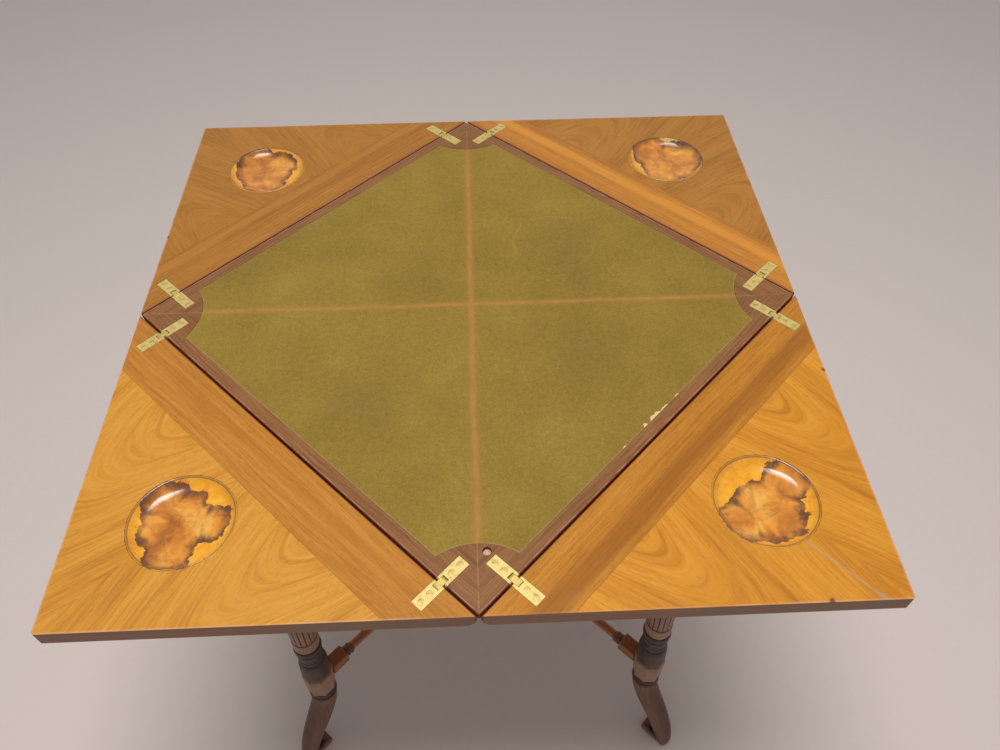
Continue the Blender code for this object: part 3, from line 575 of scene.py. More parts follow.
class BoardFinish:
    """The board's border: four strips with their grain lengthways, mitred at the corners."""

    def make(self) -> bpy.types.Material:
        """Builds the material.

        Returns:
            The material.
        """
        paint = Paint("board_border")
        place = paint.place(BOARD_TURN)
        x, y, _ = paint.split(place)
        up = paint.facing()[2]
        wide = abs(x).over(abs(y))
        across = abs(x).most(abs(y))
        grain = Grain(0.009, 0.25, 0.0045, seed=4.4)
        colour, relief = BORDER_WOOD.figure(paint, y * wide + x * (1.0 - wide), across, grain)
        mitre = abs(abs(x) - abs(y)).fall(0.0003, 0.0016, 0.75)
        patchy = paint.noise(place, 90.0).rise(0.3, 0.6)
        colour = paint.mix(mitre * patchy * 0.6, colour, "b88a68")
        colour = paint.mix(up.fall(0.25, 0.55), colour, "744228")
        # Painted highlight on the rounded arrises and as a pale line just inside the board's edge, in
        # patches.
        colour = paint.mix(on_arris(up) * patchy * 0.7, colour, "b48066")
        lit_and_rubbed = abs(across - HALF_BOARD + 0.0014).fall(0.0002, 0.0006, 0.7)
        colour = paint.mix(lit_and_rubbed * patchy, colour, "c89c84")
        # Painted shade in the gap by the flaps, on the seam's upward faces.
        seam = across.rise(HALF_BOARD - 0.0011, HALF_BOARD - 0.0006)
        colour = paint.mix(seam * up.rise(0.2, 0.5) * 0.9, colour, GAP_SHADE)
        rough = 0.36 + relief * 0.1 + seam * 0.45
        return paint.finish(colour, rough, relief, 0.00012, coat=0.08 - seam * 0.08, gloss=0.25)


@dataclass(frozen=True)
class BurrFinish:
    """Burr walnut: a brown heart with a dark ragged rim inside yellow sapwood.

    Args:
        side: which dish.
        ragged: how far the noise bends the heart's rim.
        blobs: (x, y, radius) of the rounds that make up the heart, from the dish's middle.
        groove: radius of the turned groove near the dish's rim.
    """

    side: Side
    ragged: float
    blobs: tuple[Triple, ...]
    groove: float = 0.0509

    def make(self, centre: Triple) -> bpy.types.Material:
        """Builds the material. The heart is where the distance to the nearest round, with noise, is under 0.

        Args:
            centre: the dish's middle.

        Returns:
            The material.
        """
        paint = Paint("burr_" + self.side.label)
        x, y, _ = paint.split(paint.place(0.0, centre))
        flat = paint.join(x, y, self.side.value * 0.013)
        bend = paint.noise(flat, 70.0, 4.0, 0.62, 0.3)
        gaps = [apart(x, y, bx, by) - radius + (bend - 0.5) * self.ragged for bx, by, radius in self.blobs]
        inside, second = gaps[0], gaps[0] + 1.0
        for gap in gaps[1:]:
            inside, second = inside.least(gap), second.least(inside.most(gap))
        fold = (second - inside).fall(0.0, 0.0050) * inside.rise(-0.022, -0.002)
        fold = fold * paint.noise(flat, 20.0, 1.0).rise(0.44, 0.58)
        swirl = paint.noise(flat, 26.0, 3.0, 0.55, 0.7)
        fine = paint.noise(flat, 130.0, 4.0, 0.65, 0.8)
        heart = paint.ramp(
            swirl * 0.80 + fine * 0.20,
            (0.30, "965214"), (0.42, "ce7c22"), (0.54, "f09c32"), (0.68, "febe54"),
        )
        vein = abs(paint.noise(flat, 24.0, 3.0, 0.6, 1.0) - 0.5).fall(0.0, 0.09)
        heart = paint.mix(vein * 0.40 * fine.rise(0.30, 0.65), heart, "844a1c")
        heart = paint.mix(fold * 0.75, heart, "60361e")
        stops = (0.36, "ee9610"), (0.52, "ffb01e"), (0.70, "ffc846")
        sap = paint.ramp(fine * 0.5 + bend * 0.5, *stops)
        colour = paint.mix(inside.rise(-0.0006, 0.0006), heart, sap)
        rim = inside.rise(-0.0110, -0.0008) * inside.fall(0.0, 0.0007)
        smoke = paint.noise(flat, 90.0, 3.0).rise(0.30, 0.62, 0.45, 1.0)
        colour = paint.mix(rim * smoke * 0.9, colour, "583220")
        eyes = paint.cells(flat, 150.0).fall(0.05, 0.30)
        knots = paint.noise(flat, 34.0, 1.0).rise(0.54, 0.66) * inside.fall(-0.008, -0.002)
        colour = paint.mix(eyes * knots * 0.40, colour, "683818")
        groove = abs(apart(x, y) - self.groove).fall(0.0005, 0.0012)
        colour = paint.mix(groove * 0.7, colour, "68483a")
        return paint.finish(colour, 0.26, fine * 0.4 - groove, 0.00008, coat=0.75, coat_rough=0.08, gloss=0.3)


BURRS = (
    BurrFinish(
        Side.BACK_RIGHT,
        0.014,
        ((0.008, 0.004, 0.043), (-0.012, 0.022, 0.032), (0.018, 0.010, 0.034), (-0.002, -0.014, 0.031)),
    ),
    BurrFinish(
        Side.BACK_LEFT,
        0.014,
        ((-0.006, 0.008, 0.040), (-0.014, 0.022, 0.030), (0.012, 0.020, 0.026), (-0.004, -0.016, 0.030)),
    ),
    BurrFinish(
        Side.FRONT_LEFT,
        0.024,
        ((-0.008, 0.004, 0.036), (-0.022, 0.026, 0.023), (-0.008, -0.028, 0.024), (0.026, 0.002, 0.020)),
    ),
    BurrFinish(
        Side.FRONT_RIGHT,
        0.024,
        ((0.004, -0.008, 0.036), (0.026, 0.024, 0.024), (-0.022, -0.018, 0.026)),
    ),
)


@dataclass(frozen=True)
class BaizeFinish:
    """Olive wool cloth: napped, faded, with the folds that the closed flaps' edges have left.

    Args:
        imprint: distance of each dish's mark from the middle along both axes.
        imprint_radius: its radius.
        smudges: dark marks as x, y, reach and strength.
        slivers: torn spots on the front right side as the place along it, half the length, and the depth.
    """

    imprint: float = 0.1079
    imprint_radius: float = 0.0515
    smudges: tuple[tuple[float, float, float, float], ...] = (
        (-0.120, -0.140, 0.075, 0.22),
        (0.120, -0.100, 0.080, 0.14),
        (0.120, 0.110, 0.070, 0.18),
        (-0.060, 0.040, 0.060, 0.10),
    )
    slivers: tuple[Triple, ...] = (
        (0.0113, 0.0095, 0.0046),
        (-0.0060, 0.0034, 0.0034),
        (0.0268, 0.0075, 0.0018),
        (0.0500, 0.0040, 0.0013),
        (-0.0430, 0.0030, 0.0014),
    )

    @staticmethod
    def fold(
        paint: Paint, colour: Socket, across: Socket, along: Socket, width: float, strength: float
    ) -> Socket:
        """A faded crease with a soft border and a few bare threads.

        Args:
            paint: the material's builder.
            colour: the cloth.
            across: distance from the crease.
            along: distance along it.
            width: half its width.
            strength: how faded it is.

        Returns:
            The colour with the crease.
        """
        off = abs(across + (paint.noise(paint.join(along * 9.0, 0.3, 2.0), detail=1.0) - 0.5) * 0.004)
        worn = paint.noise(paint.join(along * 22.0, across * 60.0, 5.0), detail=4.0, rough=0.75)
        core = off.fall(width * 0.2, width * 1.8) * worn.rise(0.36, 0.62, 0.25, 1.0) * strength
        colour = paint.mix(off.fall(0.0, width * 3.6, 0.34), colour, "b6803c")
        colour = paint.mix(core, colour, "c28842")
        bare = paint.noise(paint.join(along * 120.0, across * 300.0, 8.0)).rise(0.56, 0.68)
        return paint.mix(off.fall(0.0003, 0.0011) * bare * 0.4, colour, "d09c62")

    def make(self) -> bpy.types.Material:
        """Builds the material.

        Returns:
            The material.
        """
        paint = Paint("playing_cloth")
        place = paint.place()
        x, y, _ = paint.split(place)
        fibre = paint.noise(place, 480.0, 3.0, 0.75)
        brushed = paint.noise(place, 170.0, 4.0, 0.7)
        patch = paint.noise(place, 24.0, 4.0, 0.6)
        value = paint.noise(place, 6.0) * 0.24 + patch * 0.12 + brushed * 0.24 + fibre * 0.40
        stops = (0.36, "826726"), (0.50, "977a2e"), (0.64, "aa8c3a")
        colour = paint.ramp(value, *stops)
        for smudge_x, smudge_y, reach, strength in self.smudges:
            dark = apart(x, y, smudge_x, smudge_y).fall(0.0, reach) * patch.rise(0.30, 0.60, 0.5, 1.0)
            colour = paint.mix(dark * strength, colour, "604a24")
        colour = self.fold(paint, colour, x, y, 0.0028, 0.66)
        colour = self.fold(paint, colour, y, x, 0.0026, 0.60)
        ring = abs(apart(abs(x), abs(y), self.imprint, self.imprint) - self.imprint_radius)
        mark = ring.fall(0.0003, 0.0018) * patch.rise(0.44, 0.58, 0.3, 1.0)
        colour = paint.mix(mark * y.rise(-0.12, 0.12, 0.10, 0.36), colour, "b0904e")
        u, v, _ = paint.split(paint.place(BOARD_TURN))
        corner = apart(abs(u), abs(v), HALF_BOARD, HALF_BOARD) - SCOOP
        rim = (HALF_CLOTH - abs(u).most(abs(v))).least(corner) - fibre * 0.0016
        colour = paint.mix(rim.fall(-0.0004, 0.0006, 0.6), colour, "b29868")
        for middle, half, depth in self.slivers:
            along = ((x + y) * math.sqrt(0.5) - middle) / half
            depth_here = (1.0 - along * along) * depth * brushed.rise(0.3, 0.7, 0.6, 1.4)
            torn = HALF_CLOTH - (x - y) * math.sqrt(0.5) - depth_here
            colour = paint.mix(torn.fall(-0.0004, 0.0004, 0.85), colour, "fadca4")
        lint = paint.cells(place, 150.0).fall(0.03, 0.055) * paint.noise(place, 55.0, 1.0).rise(0.66, 0.70)
        colour = paint.mix(lint * 0.8, colour, "cec096")
        return paint.finish(colour, 0.95, fibre * 0.7 + brushed * 0.5 + patch * 0.5, 0.0006)


@dataclass(frozen=True)
class BrassFinish:
    """Cast brass, dulled, with grime and fine scratches.

    Args:
        name: the material's name.
        base: the metal's colour.
        dirt_and_shade: the colour of its grime.
    """

    name: str = "old_brass"
    base: str = "e5cc7e"
    dirt_and_shade: str = "8c6c38"

    def make(self) -> bpy.types.Material:
        """Builds the material.

        Returns:
            The material.
        """
        paint = Paint(self.name)
        place = paint.place()
        cloud = paint.noise(place, 160.0, 4.0, 0.65)
        fine = paint.noise(place, 900.0, 3.0, 0.7)
        scratch = paint.noise(paint.stretched(place, (300.0, 2600.0, 300.0))).rise(0.60, 0.72)
        colour = paint.mix(cloud.rise(0.46, 0.72) * 0.40, self.base, self.dirt_and_shade)
        colour = paint.mix(fine.rise(0.60, 0.75) * 0.25, colour, self.dirt_and_shade)
        rough = 0.42 + cloud * 0.16 - scratch * 0.10
        return paint.finish(colour, rough, fine * 0.6 + scratch * 0.6, 0.00006, metal=0.45)


class Run(Enum):
    """Which way a piece's grain runs."""

    UPRIGHT = "up"
    LEVEL = "along the face"
    OUTWARD = "away from the middle"


@dataclass(frozen=True)
class TurnedFinish:
    """Dark polished walnut for turned work: painted shade in the recesses, and the raised parts paler, partly
    from wearing and partly as painted light.

    Args:
        name: the material's name.
        wood: the wood's colours.
        worn: the colour of the paler parts, from wearing and painted light.
        light_and_wear_share: how much of it shows, by what the mesh keeps at each point; if it is nothing,
            the mesh's painted shade is left out too.
        run: which way the grain runs.
    """

    name: str
    wood: Wood
    worn: str = ""
    light_and_wear_share: float = 0.0
    run: Run = Run.UPRIGHT

    def make(self) -> bpy.types.Material:
        """Builds the material.

        Returns:
            The material.
        """
        paint = Paint(self.name)
        place = paint.place()
        x, y, z = paint.split(place)
        if self.run is Run.UPRIGHT:
            along, across = z, x + y * 0.6
        elif self.run is Run.LEVEL:
            along, across = paint.along_face(x, y), z
        else:
            along, across = apart(x, y), z + (abs(x) - abs(y)) * 0.7
        colour, relief = self.wood.figure(paint, along, across, Grain(0.008, 0.20, 0.0035, seed=6.1))
        cloud = paint.noise(place, 30.0, 3.0, 0.6)
        if self.light_and_wear_share:
            # The paler colour is partly wearing and partly painted light; the dark mix after it is painted
            # shade in the recesses that the mesh marks.
            lit_and_rubbed = paint.stored("worn") * cloud.rise(0.25, 0.6, 0.6, 1.0) * self.light_and_wear_share
            colour = paint.mix(lit_and_rubbed, colour, self.worn)
            colour = paint.mix(paint.stored("hollow") * 0.85, colour, "22140f")
        grime = paint.noise(place, 260.0, 3.0, 0.6).rise(0.50, 0.70)
        colour = paint.mix(grime * 0.25, colour, "221612")
        return paint.finish(colour, 0.36 + cloud * 0.12, relief, 0.00014, coat=0.08, gloss=0.3)


class IronFinish:
    """Dark forged iron of the pivot."""

    def make(self) -> bpy.types.Material:
        """Builds the material.

        Returns:
            The material.
        """
        paint = Paint("pivot_iron")
        place = paint.place()
        cloud = paint.noise(place, 120.0, 4.0, 0.65)
        rust = paint.noise(place, 60.0, 3.0, 0.6).rise(0.54, 0.72) * 0.6
        colour = paint.mix(rust, paint.mix(cloud, "34302e", "5c5652"), "6e3e28")
        return paint.finish(colour, 0.45 + cloud * 0.25, cloud, 0.0003, metal=0.8)


class FloorFinish:
    """Plain pale floor, a little uneven in tone."""

    def make(self) -> bpy.types.Material:
        """Builds the material.

        Returns:
            The material.
        """
        paint = Paint("pale_floor")
        shade = 0.975 + paint.noise(paint.place(), 90.0, 3.0, 0.7) * 0.05
        grey = paint.node("ShaderNodeCombineColor", feeds={0: shade, 1: shade, 2: shade})
        settings = {"data_type": "RGBA", "blend_type": "MULTIPLY"}
        colour = paint.node("ShaderNodeMix", settings, {0: 1.0, 6: "fae9e1", 7: grey}, 2)
        return paint.finish(colour, 0.75)


class Shape:
    """Surfaces worked out as whole arrays."""

    @staticmethod
    def softened(points: Sequence[Pair] | np.ndarray, reach: float, passes: int) -> np.ndarray:
        """Cuts the corners of a profile so that it runs in small curves.

        Each pass puts two points in place of a corner, a quarter of the way along each side or as
        far as reach, whichever is less.

        Args:
            points: the profile's corners.
            reach: the longest cut.
            passes: how many times.

        Returns:
            The new profile, with its ends kept.
        """
        line = np.asarray(points, float)
        for _ in range(passes):
            step = np.diff(line, axis=0)
            length = np.linalg.norm(step, axis=1, keepdims=True)
            share = np.minimum(0.25, reach / np.maximum(length, 1e-9))
            pairs = np.stack([line[:-1] + step * share, line[1:] - step * share], axis=1).reshape(-1, 2)
            line = np.concatenate([line[:1], pairs[1:-1], line[-1:]])
        return line

    @staticmethod
    def lathe(line: np.ndarray, segments: int, centre: Triple = (0.0, 0.0, 0.0)) -> np.ndarray:
        """Carries each point of a profile round an upright axis.

        Args:
            line: rows of radius and height.
            segments: points in a ring.
            centre: the axis, and where heights start.

        Returns:
            Rings, points, and x, y, z.
        """
        angle = np.linspace(0.0, math.tau, segments, endpoint=False)
        radius, height = line[:, 0, None], line[:, 1, None]
        return np.stack([radius * np.cos(angle), radius * np.sin(angle), height + 0 * angle], -1) + centre

    @staticmethod
    def turned_round(points: np.ndarray, turn: float, shift: Triple = (0.0, 0.0, 0.0)) -> np.ndarray:
        """Turns points about the upright axis.

        Args:
            points: x, y, z along the last axis.
            turn: the angle.
            shift: what is added to them first.

        Returns:
            The new points.
        """
        x, y, z = np.moveaxis(points + shift, -1, 0)
        cos, sin = math.cos(turn), math.sin(turn)
        return np.stack([x * cos - y * sin, x * sin + y * cos, z], -1)

    @staticmethod
    def piece(name: str, points: np.ndarray, faces: list[list[int]]) -> bpy.types.Object:
        """A mesh object at the origin.

        Args:
            name: its name.
            points: x, y, z in rows.
            faces: the numbers of each face's points.

        Returns:
            The object.
        """
        mesh = bpy.data.meshes.new(name)
        mesh.from_pydata(points.tolist(), [], faces)
        mesh.validate()
        obj = bpy.data.objects.new(name, mesh)
        bpy.context.scene.collection.objects.link(obj)
        return obj

    @classmethod
    def solid(
        cls, name: str, grids: Sequence[np.ndarray], sharp: float, inside_out: bool = False
    ) -> bpy.types.Object:
        """One piece of closed solids: quads join neighbouring rings, and a flat cap closes each end.

        Args:
            name: the piece's name.
            grids: for each solid its rings, points, and x, y, z.
            sharp: the angle in degrees past which an edge stays sharp.
            inside_out: whether the rings run the other way, so that the faces are turned.

        Returns:
            The piece.
        """
        way = -1 if inside_out else 1
        points, faces, start = [], [], 0
        for grid in grids:
            number = start + np.arange(grid.shape[0] * grid.shape[1]).reshape(grid.shape[:2])
            beside = np.roll(number, -1, axis=1)
            quads = np.stack([number[:-1], beside[:-1], beside[1:], number[1:]], -1).reshape(-1, 4)
            faces += [*quads[:, ::way].tolist(), number[0, ::-way].tolist(), number[-1, ::way].tolist()]
            points.append(grid.reshape(-1, 3))
            start += number.size
        obj = cls.piece(name, np.concatenate(points), faces)
        obj.data.shade_smooth()
        obj.data.set_sharp_from_angle(angle=math.radians(sharp))
        return obj

    @staticmethod
    def keep(piece: bpy.types.Object, **stores: np.ndarray) -> None:
        """Stores numbers at each point of a piece's mesh.

        Args:
            piece: the piece.
            stores: arrays in the order of its points, by name.
        """
        for name, values in stores.items():
            store = piece.data.attributes.new(name, "FLOAT", "POINT")
            store.data.foreach_set("value", np.ascontiguousarray(values, np.float32).reshape(-1))


def adopt(piece: bpy.types.Object, body: str, slot: str, finish: bpy.types.Material, *nodes: str) -> None:
    """Dresses a new piece, hands it to its body and reports it.

    Args:
        piece: the new piece.
        body: the body that it moves with.
        slot: not used.
        finish: its material.
        nodes: the frame's nodes that it stands for.
    """
    piece.data.materials.append(finish)
    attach(piece, body)
    if nodes:
        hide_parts(*nodes)
    log.info("piece %s rides on %s", piece.name, body)


def dress(finish: bpy.types.Material, *nodes: str) -> None:
    """Gives some of the frame's nodes their finish, and reports them.

    Args:
        finish: their material.
        nodes: their names.
    """
    for node in nodes:
        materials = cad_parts[node].data.materials
        materials.clear()
        materials.append(finish)
        log.info("node %s dressed", node)


class Leaves:
    """The board and the four flaps, whose solids are right as they are."""

    def build(self) -> None:
        """Dresses the leaves."""
        dress(BoardFinish().make(), "board")
        for finish in FLAPS:
            dress(finish.make(), "flap_" + finish.side.label)


@dataclass(frozen=True)
class CounterDish:
    """A turned dish of burr walnut.

    Args:
        finish: its finish, which knows its side.
        radius: its outer radius.
        thickness: from rim to underside.
        depth: from rim to floor.
        from_pivot: how far its middle is from the pivot.
        inside: the dish's inner profile, as shares of the radius and of the depth.
    """

    finish: BurrFinish
    radius: float = 0.0525
    thickness: float = 0.0125
    depth: float = 0.0095
    from_pivot: float = 0.3994
    inside: tuple[Pair, ...] = (
        (0.984, 0.0), (0.966, 0.035), (0.950, 0.13), (0.925, 0.30), (0.895, 0.47), (0.86, 0.62), (0.82, 0.75),
        (0.77, 0.86), (0.71, 0.94), (0.64, 0.985), (0.55, 1.0), (0.30, 1.0), (0.02, 1.0),
    )

    def build(self) -> None:
        """Turns the dish from its underside over the lip and down to its floor, and dresses it."""
        corners = [(0.30 * self.radius, -self.thickness), (self.radius, -self.thickness)]
        corners += [(self.radius, -0.0006), (self.radius - 0.0004, 0.0)]
        corners += [(self.radius * out, -self.depth * down) for out, down in self.inside]
        side = self.finish.side
        centre = (self.from_pivot * math.cos(side.turn), self.from_pivot * math.sin(side.turn), 0.0)
        rings = Shape.lathe(Shape.softened(corners, 0.0012, 3), 128, (*centre[:2], TABLE_TOP))
        dish = Shape.solid("dish_" + side.label, [rings], 50.0)
        adopt(dish, "flap_" + side.label, "burr", self.finish.make(centre), "cup_" + side.label)


@dataclass(frozen=True)
class PlayingCloth:
    """The baize, laid in the board's recess.

    Args:
        thickness: the cloth's.
        ease: how far it stays from the recess's sides.
        side_steps: points on each straight side.
        arc_steps: points on each scooped corner.
        rings: rings of points from the edge to the middle.
    """

    thickness: float = 0.0009
    ease: float = 0.0001
    side_steps: int = 56
    arc_steps: int = 14
    rings: int = 46

    def outline(self) -> np.ndarray:
        """The cloth's edge: four straight sides joined by arcs about the board's corners.

        Returns:
            The edge's points, x and y, in the board's own directions.
        """
        edge, radius = HALF_CLOTH - self.ease, SCOOP + self.ease
        margin = math.asin((HALF_BOARD - edge) / radius)
        sweep = np.linspace(margin, math.pi / 2 - margin, self.arc_steps)
        arc = HALF_BOARD - radius * np.stack([np.sin(sweep), np.cos(sweep)], -1)
        end = np.array([-arc[0, 1], arc[0, 0]])
        share = np.linspace(0.0, 1.0, self.side_steps + 2)[1:-1, None]
        quarter = np.concatenate([arc, arc[-1] + (end - arc[-1]) * share])
        x, y = quarter.T
        return np.concatenate([np.stack(pair, -1) for pair in ((x, y), (-y, x), (-x, -y), (y, -x))])

    def build(self) -> None:
        """Lays the cloth: rings of its edge drawn in to the middle, low at the folds, rounded at the edge."""
        edge = self.outline()
        share = np.concatenate([np.linspace(1.0, 0.985, 6), np.linspace(0.985, 0.004, self.rings)[1:]])
        flat = edge[None] * share[:, None, None]
        face = Shape.turned_round(np.pad(flat, ((0, 0), (0, 0), (0, 1))), BOARD_TURN)
        fold = np.exp(-((face[..., :2] / 0.003) ** 2)).sum(-1)
        lip = np.clip((1.0 - share) / 0.010, 0.0, 1.0)[:, None]
        face[..., 2] = TABLE_TOP - 0.00030 * (1.0 - np.sqrt(lip * (2.0 - lip))) - 0.00012 * fold
        under = face[::-1].copy()
        under[..., 2] = TABLE_TOP - self.thickness
        cloth = Shape.solid("playing_cloth", [np.concatenate([under, face])], 60.0)
        adopt(cloth, "top", "baize", BaizeFinish().make(), "baize")


@dataclass(frozen=True)
class Screws:
    """Countersunk slotted wood screws, two in each strap.

    Args:
        head: the head's radius.
        slot: the slot's width.
        slot_depth: its depth.
        sink: how deep the head goes.
        dome: how far its middle stands up, and its rim drops.
        top: the height of the straps' faces.
        from_middle: the straps from the middle of their edge.
        strap: a strap's length.
        shares: the screws' places along it.
    """

    head: float = 0.0032
    slot: float = 0.0008
    slot_depth: float = 0.0007
    sink: float = 0.0017
    dome: float = 0.00012
    top: float = 0.7398
    from_middle: float = 0.228
    strap: float = 0.0297
    shares: Pair = (0.44, 0.81)

    def one(self, turn: float) -> np.ndarray:
        """A screw with its slot at an angle: its face in strips from rim to rim, closed by a cone below.

        Args:
            turn: the slot's angle.

        Returns:
            Strips, points, and x, y, z.
        """
        half = self.slot / 2
        far = self.head * np.sin(np.linspace(0.42, math.pi / 2 - 0.02, 7))
        right = np.concatenate([np.array([half * 0.98, half * 1.02, half * 1.5]), far])
        across = np.concatenate([-right[::-1], right])
        along = np.sqrt(np.maximum(self.head**2 - across**2, 1e-10))[:, None] * np.linspace(-1.0, 1.0, 13)
        wide = np.broadcast_to(across[:, None], along.shape)
        out = np.sqrt(wide**2 + along**2) / self.head
        height = self.dome * (1.0 - out**2) - self.dome * np.clip((out - 0.9) / 0.1, 0.0, 1.0)
        height -= np.where(np.abs(wide) < half, self.slot_depth, 0.0)
        face = np.stack([wide, along, height], -1)
        cone = np.stack([wide * 0.5, along * 0.5, np.full_like(along, -self.sink)], -1)[:, ::-1]
        return Shape.turned_round(np.concatenate([face, cone], axis=1), turn, (0.0, 0.0, self.top))

    def group(self, name: str, places: np.ndarray, seed: int) -> bpy.types.Object:
        """Several screws as one piece.

        Args:
            name: the piece's name.
            places: x and y of each screw.
            seed: decides how their slots stand.

        Returns:
            The piece.
        """
        turns = np.random.default_rng(seed).uniform(0.0, math.pi, len(places))
        grids = [self.one(float(turn)) + (*place, 0.0) for place, turn in zip(places, turns)]
        return Shape.solid(name, grids, 28.0)

    def build(self, brass: bpy.types.Material) -> None:
        """Makes the screws of every strap.

        Args:
            brass: their material.
        """
        reach = self.strap * np.array(self.shares)[:, None]
        for number, side in enumerate(Side):
            out = np.array([math.cos(side.turn), math.sin(side.turn)])
            for step, letter in enumerate("ab"):
                middle = np.array([-out[1], out[0]]) * self.from_middle * (2 * step - 1)
                seed = number * 10 + step * 5
                tail = side.label + "_" + letter
                inner = self.group("board_screws_" + tail, out * (HALF_BOARD - reach) + middle, seed)
                adopt(inner, "top", "brass", brass)
                outer = self.group("flap_screws_" + tail, out * (FLAP_EDGE + reach) + middle, seed + 1)
                adopt(outer, "flap_" + side.label, "brass", brass)


class Hinges:
    """The brass straps, links and screws."""

    def build(self) -> None:
        """Dresses the hinges and adds their screws."""
        strap = BrassFinish().make()
        link = BrassFinish("link_brass", "dec06c", "74582a").make()
        for side in Side:
            for tail in (side.label + "_a", side.label + "_b"):
                dress(strap, "board_strap_" + tail, "flap_strap_" + tail)
                dress(link, "hinge_link_" + tail)
        Screws().build(BrassFinish("screw_brass", "dec076", "826436").make())


# The leg's turned parts as (drop, radius) in tenths of a millimetre, the drop from the table's top.
NECK = (
    (1100, 150), (1101, 188), (1125, 203), (1150, 208), (1178, 206), (1202, 192), (1206, 182), (1240, 174),
    (1290, 171), (1306, 175), (1310, 196), (1332, 210), (1358, 209), (1378, 202), (1380, 190),
)
RINGS = (
    (3740, 167), (3752, 167), (3756, 179), (3784, 184), (3950, 184), (3972, 179), (3980, 173), (3992, 173),
    (3999, 184), (4020, 193), (4052, 197), (4085, 194), (4108, 185), (4116, 173), (4142, 170), (4150, 178),
    (4172, 184), (4198, 183), (4216, 177), (4222, 169), (4260, 166), (4320, 166), (4350, 169), (4356, 176),
    (4400, 178), (4420, 176), (4424, 170), (4444, 170), (4450, 180), (4480, 192), (4530, 201), (4600, 206),
    (4700, 209), (4800, 211), (4836, 212), (4856, 210), (4868, 204), (4870, 180),
)
EIGHT = (
    (4872, 170), (4948, 207), (4960, 208), (5425, 197), (5439, 194), (5440, 186),
)
COLLAR = (
    (5441, 186), (5458, 188), (5466, 198), (5488, 203), (5524, 203), (5544, 196), (5550, 188), (5566, 188),
    (5572, 199), (5594, 206), (5636, 206), (5660, 200), (5670, 190), (5671, 150), (5700, 140),
)


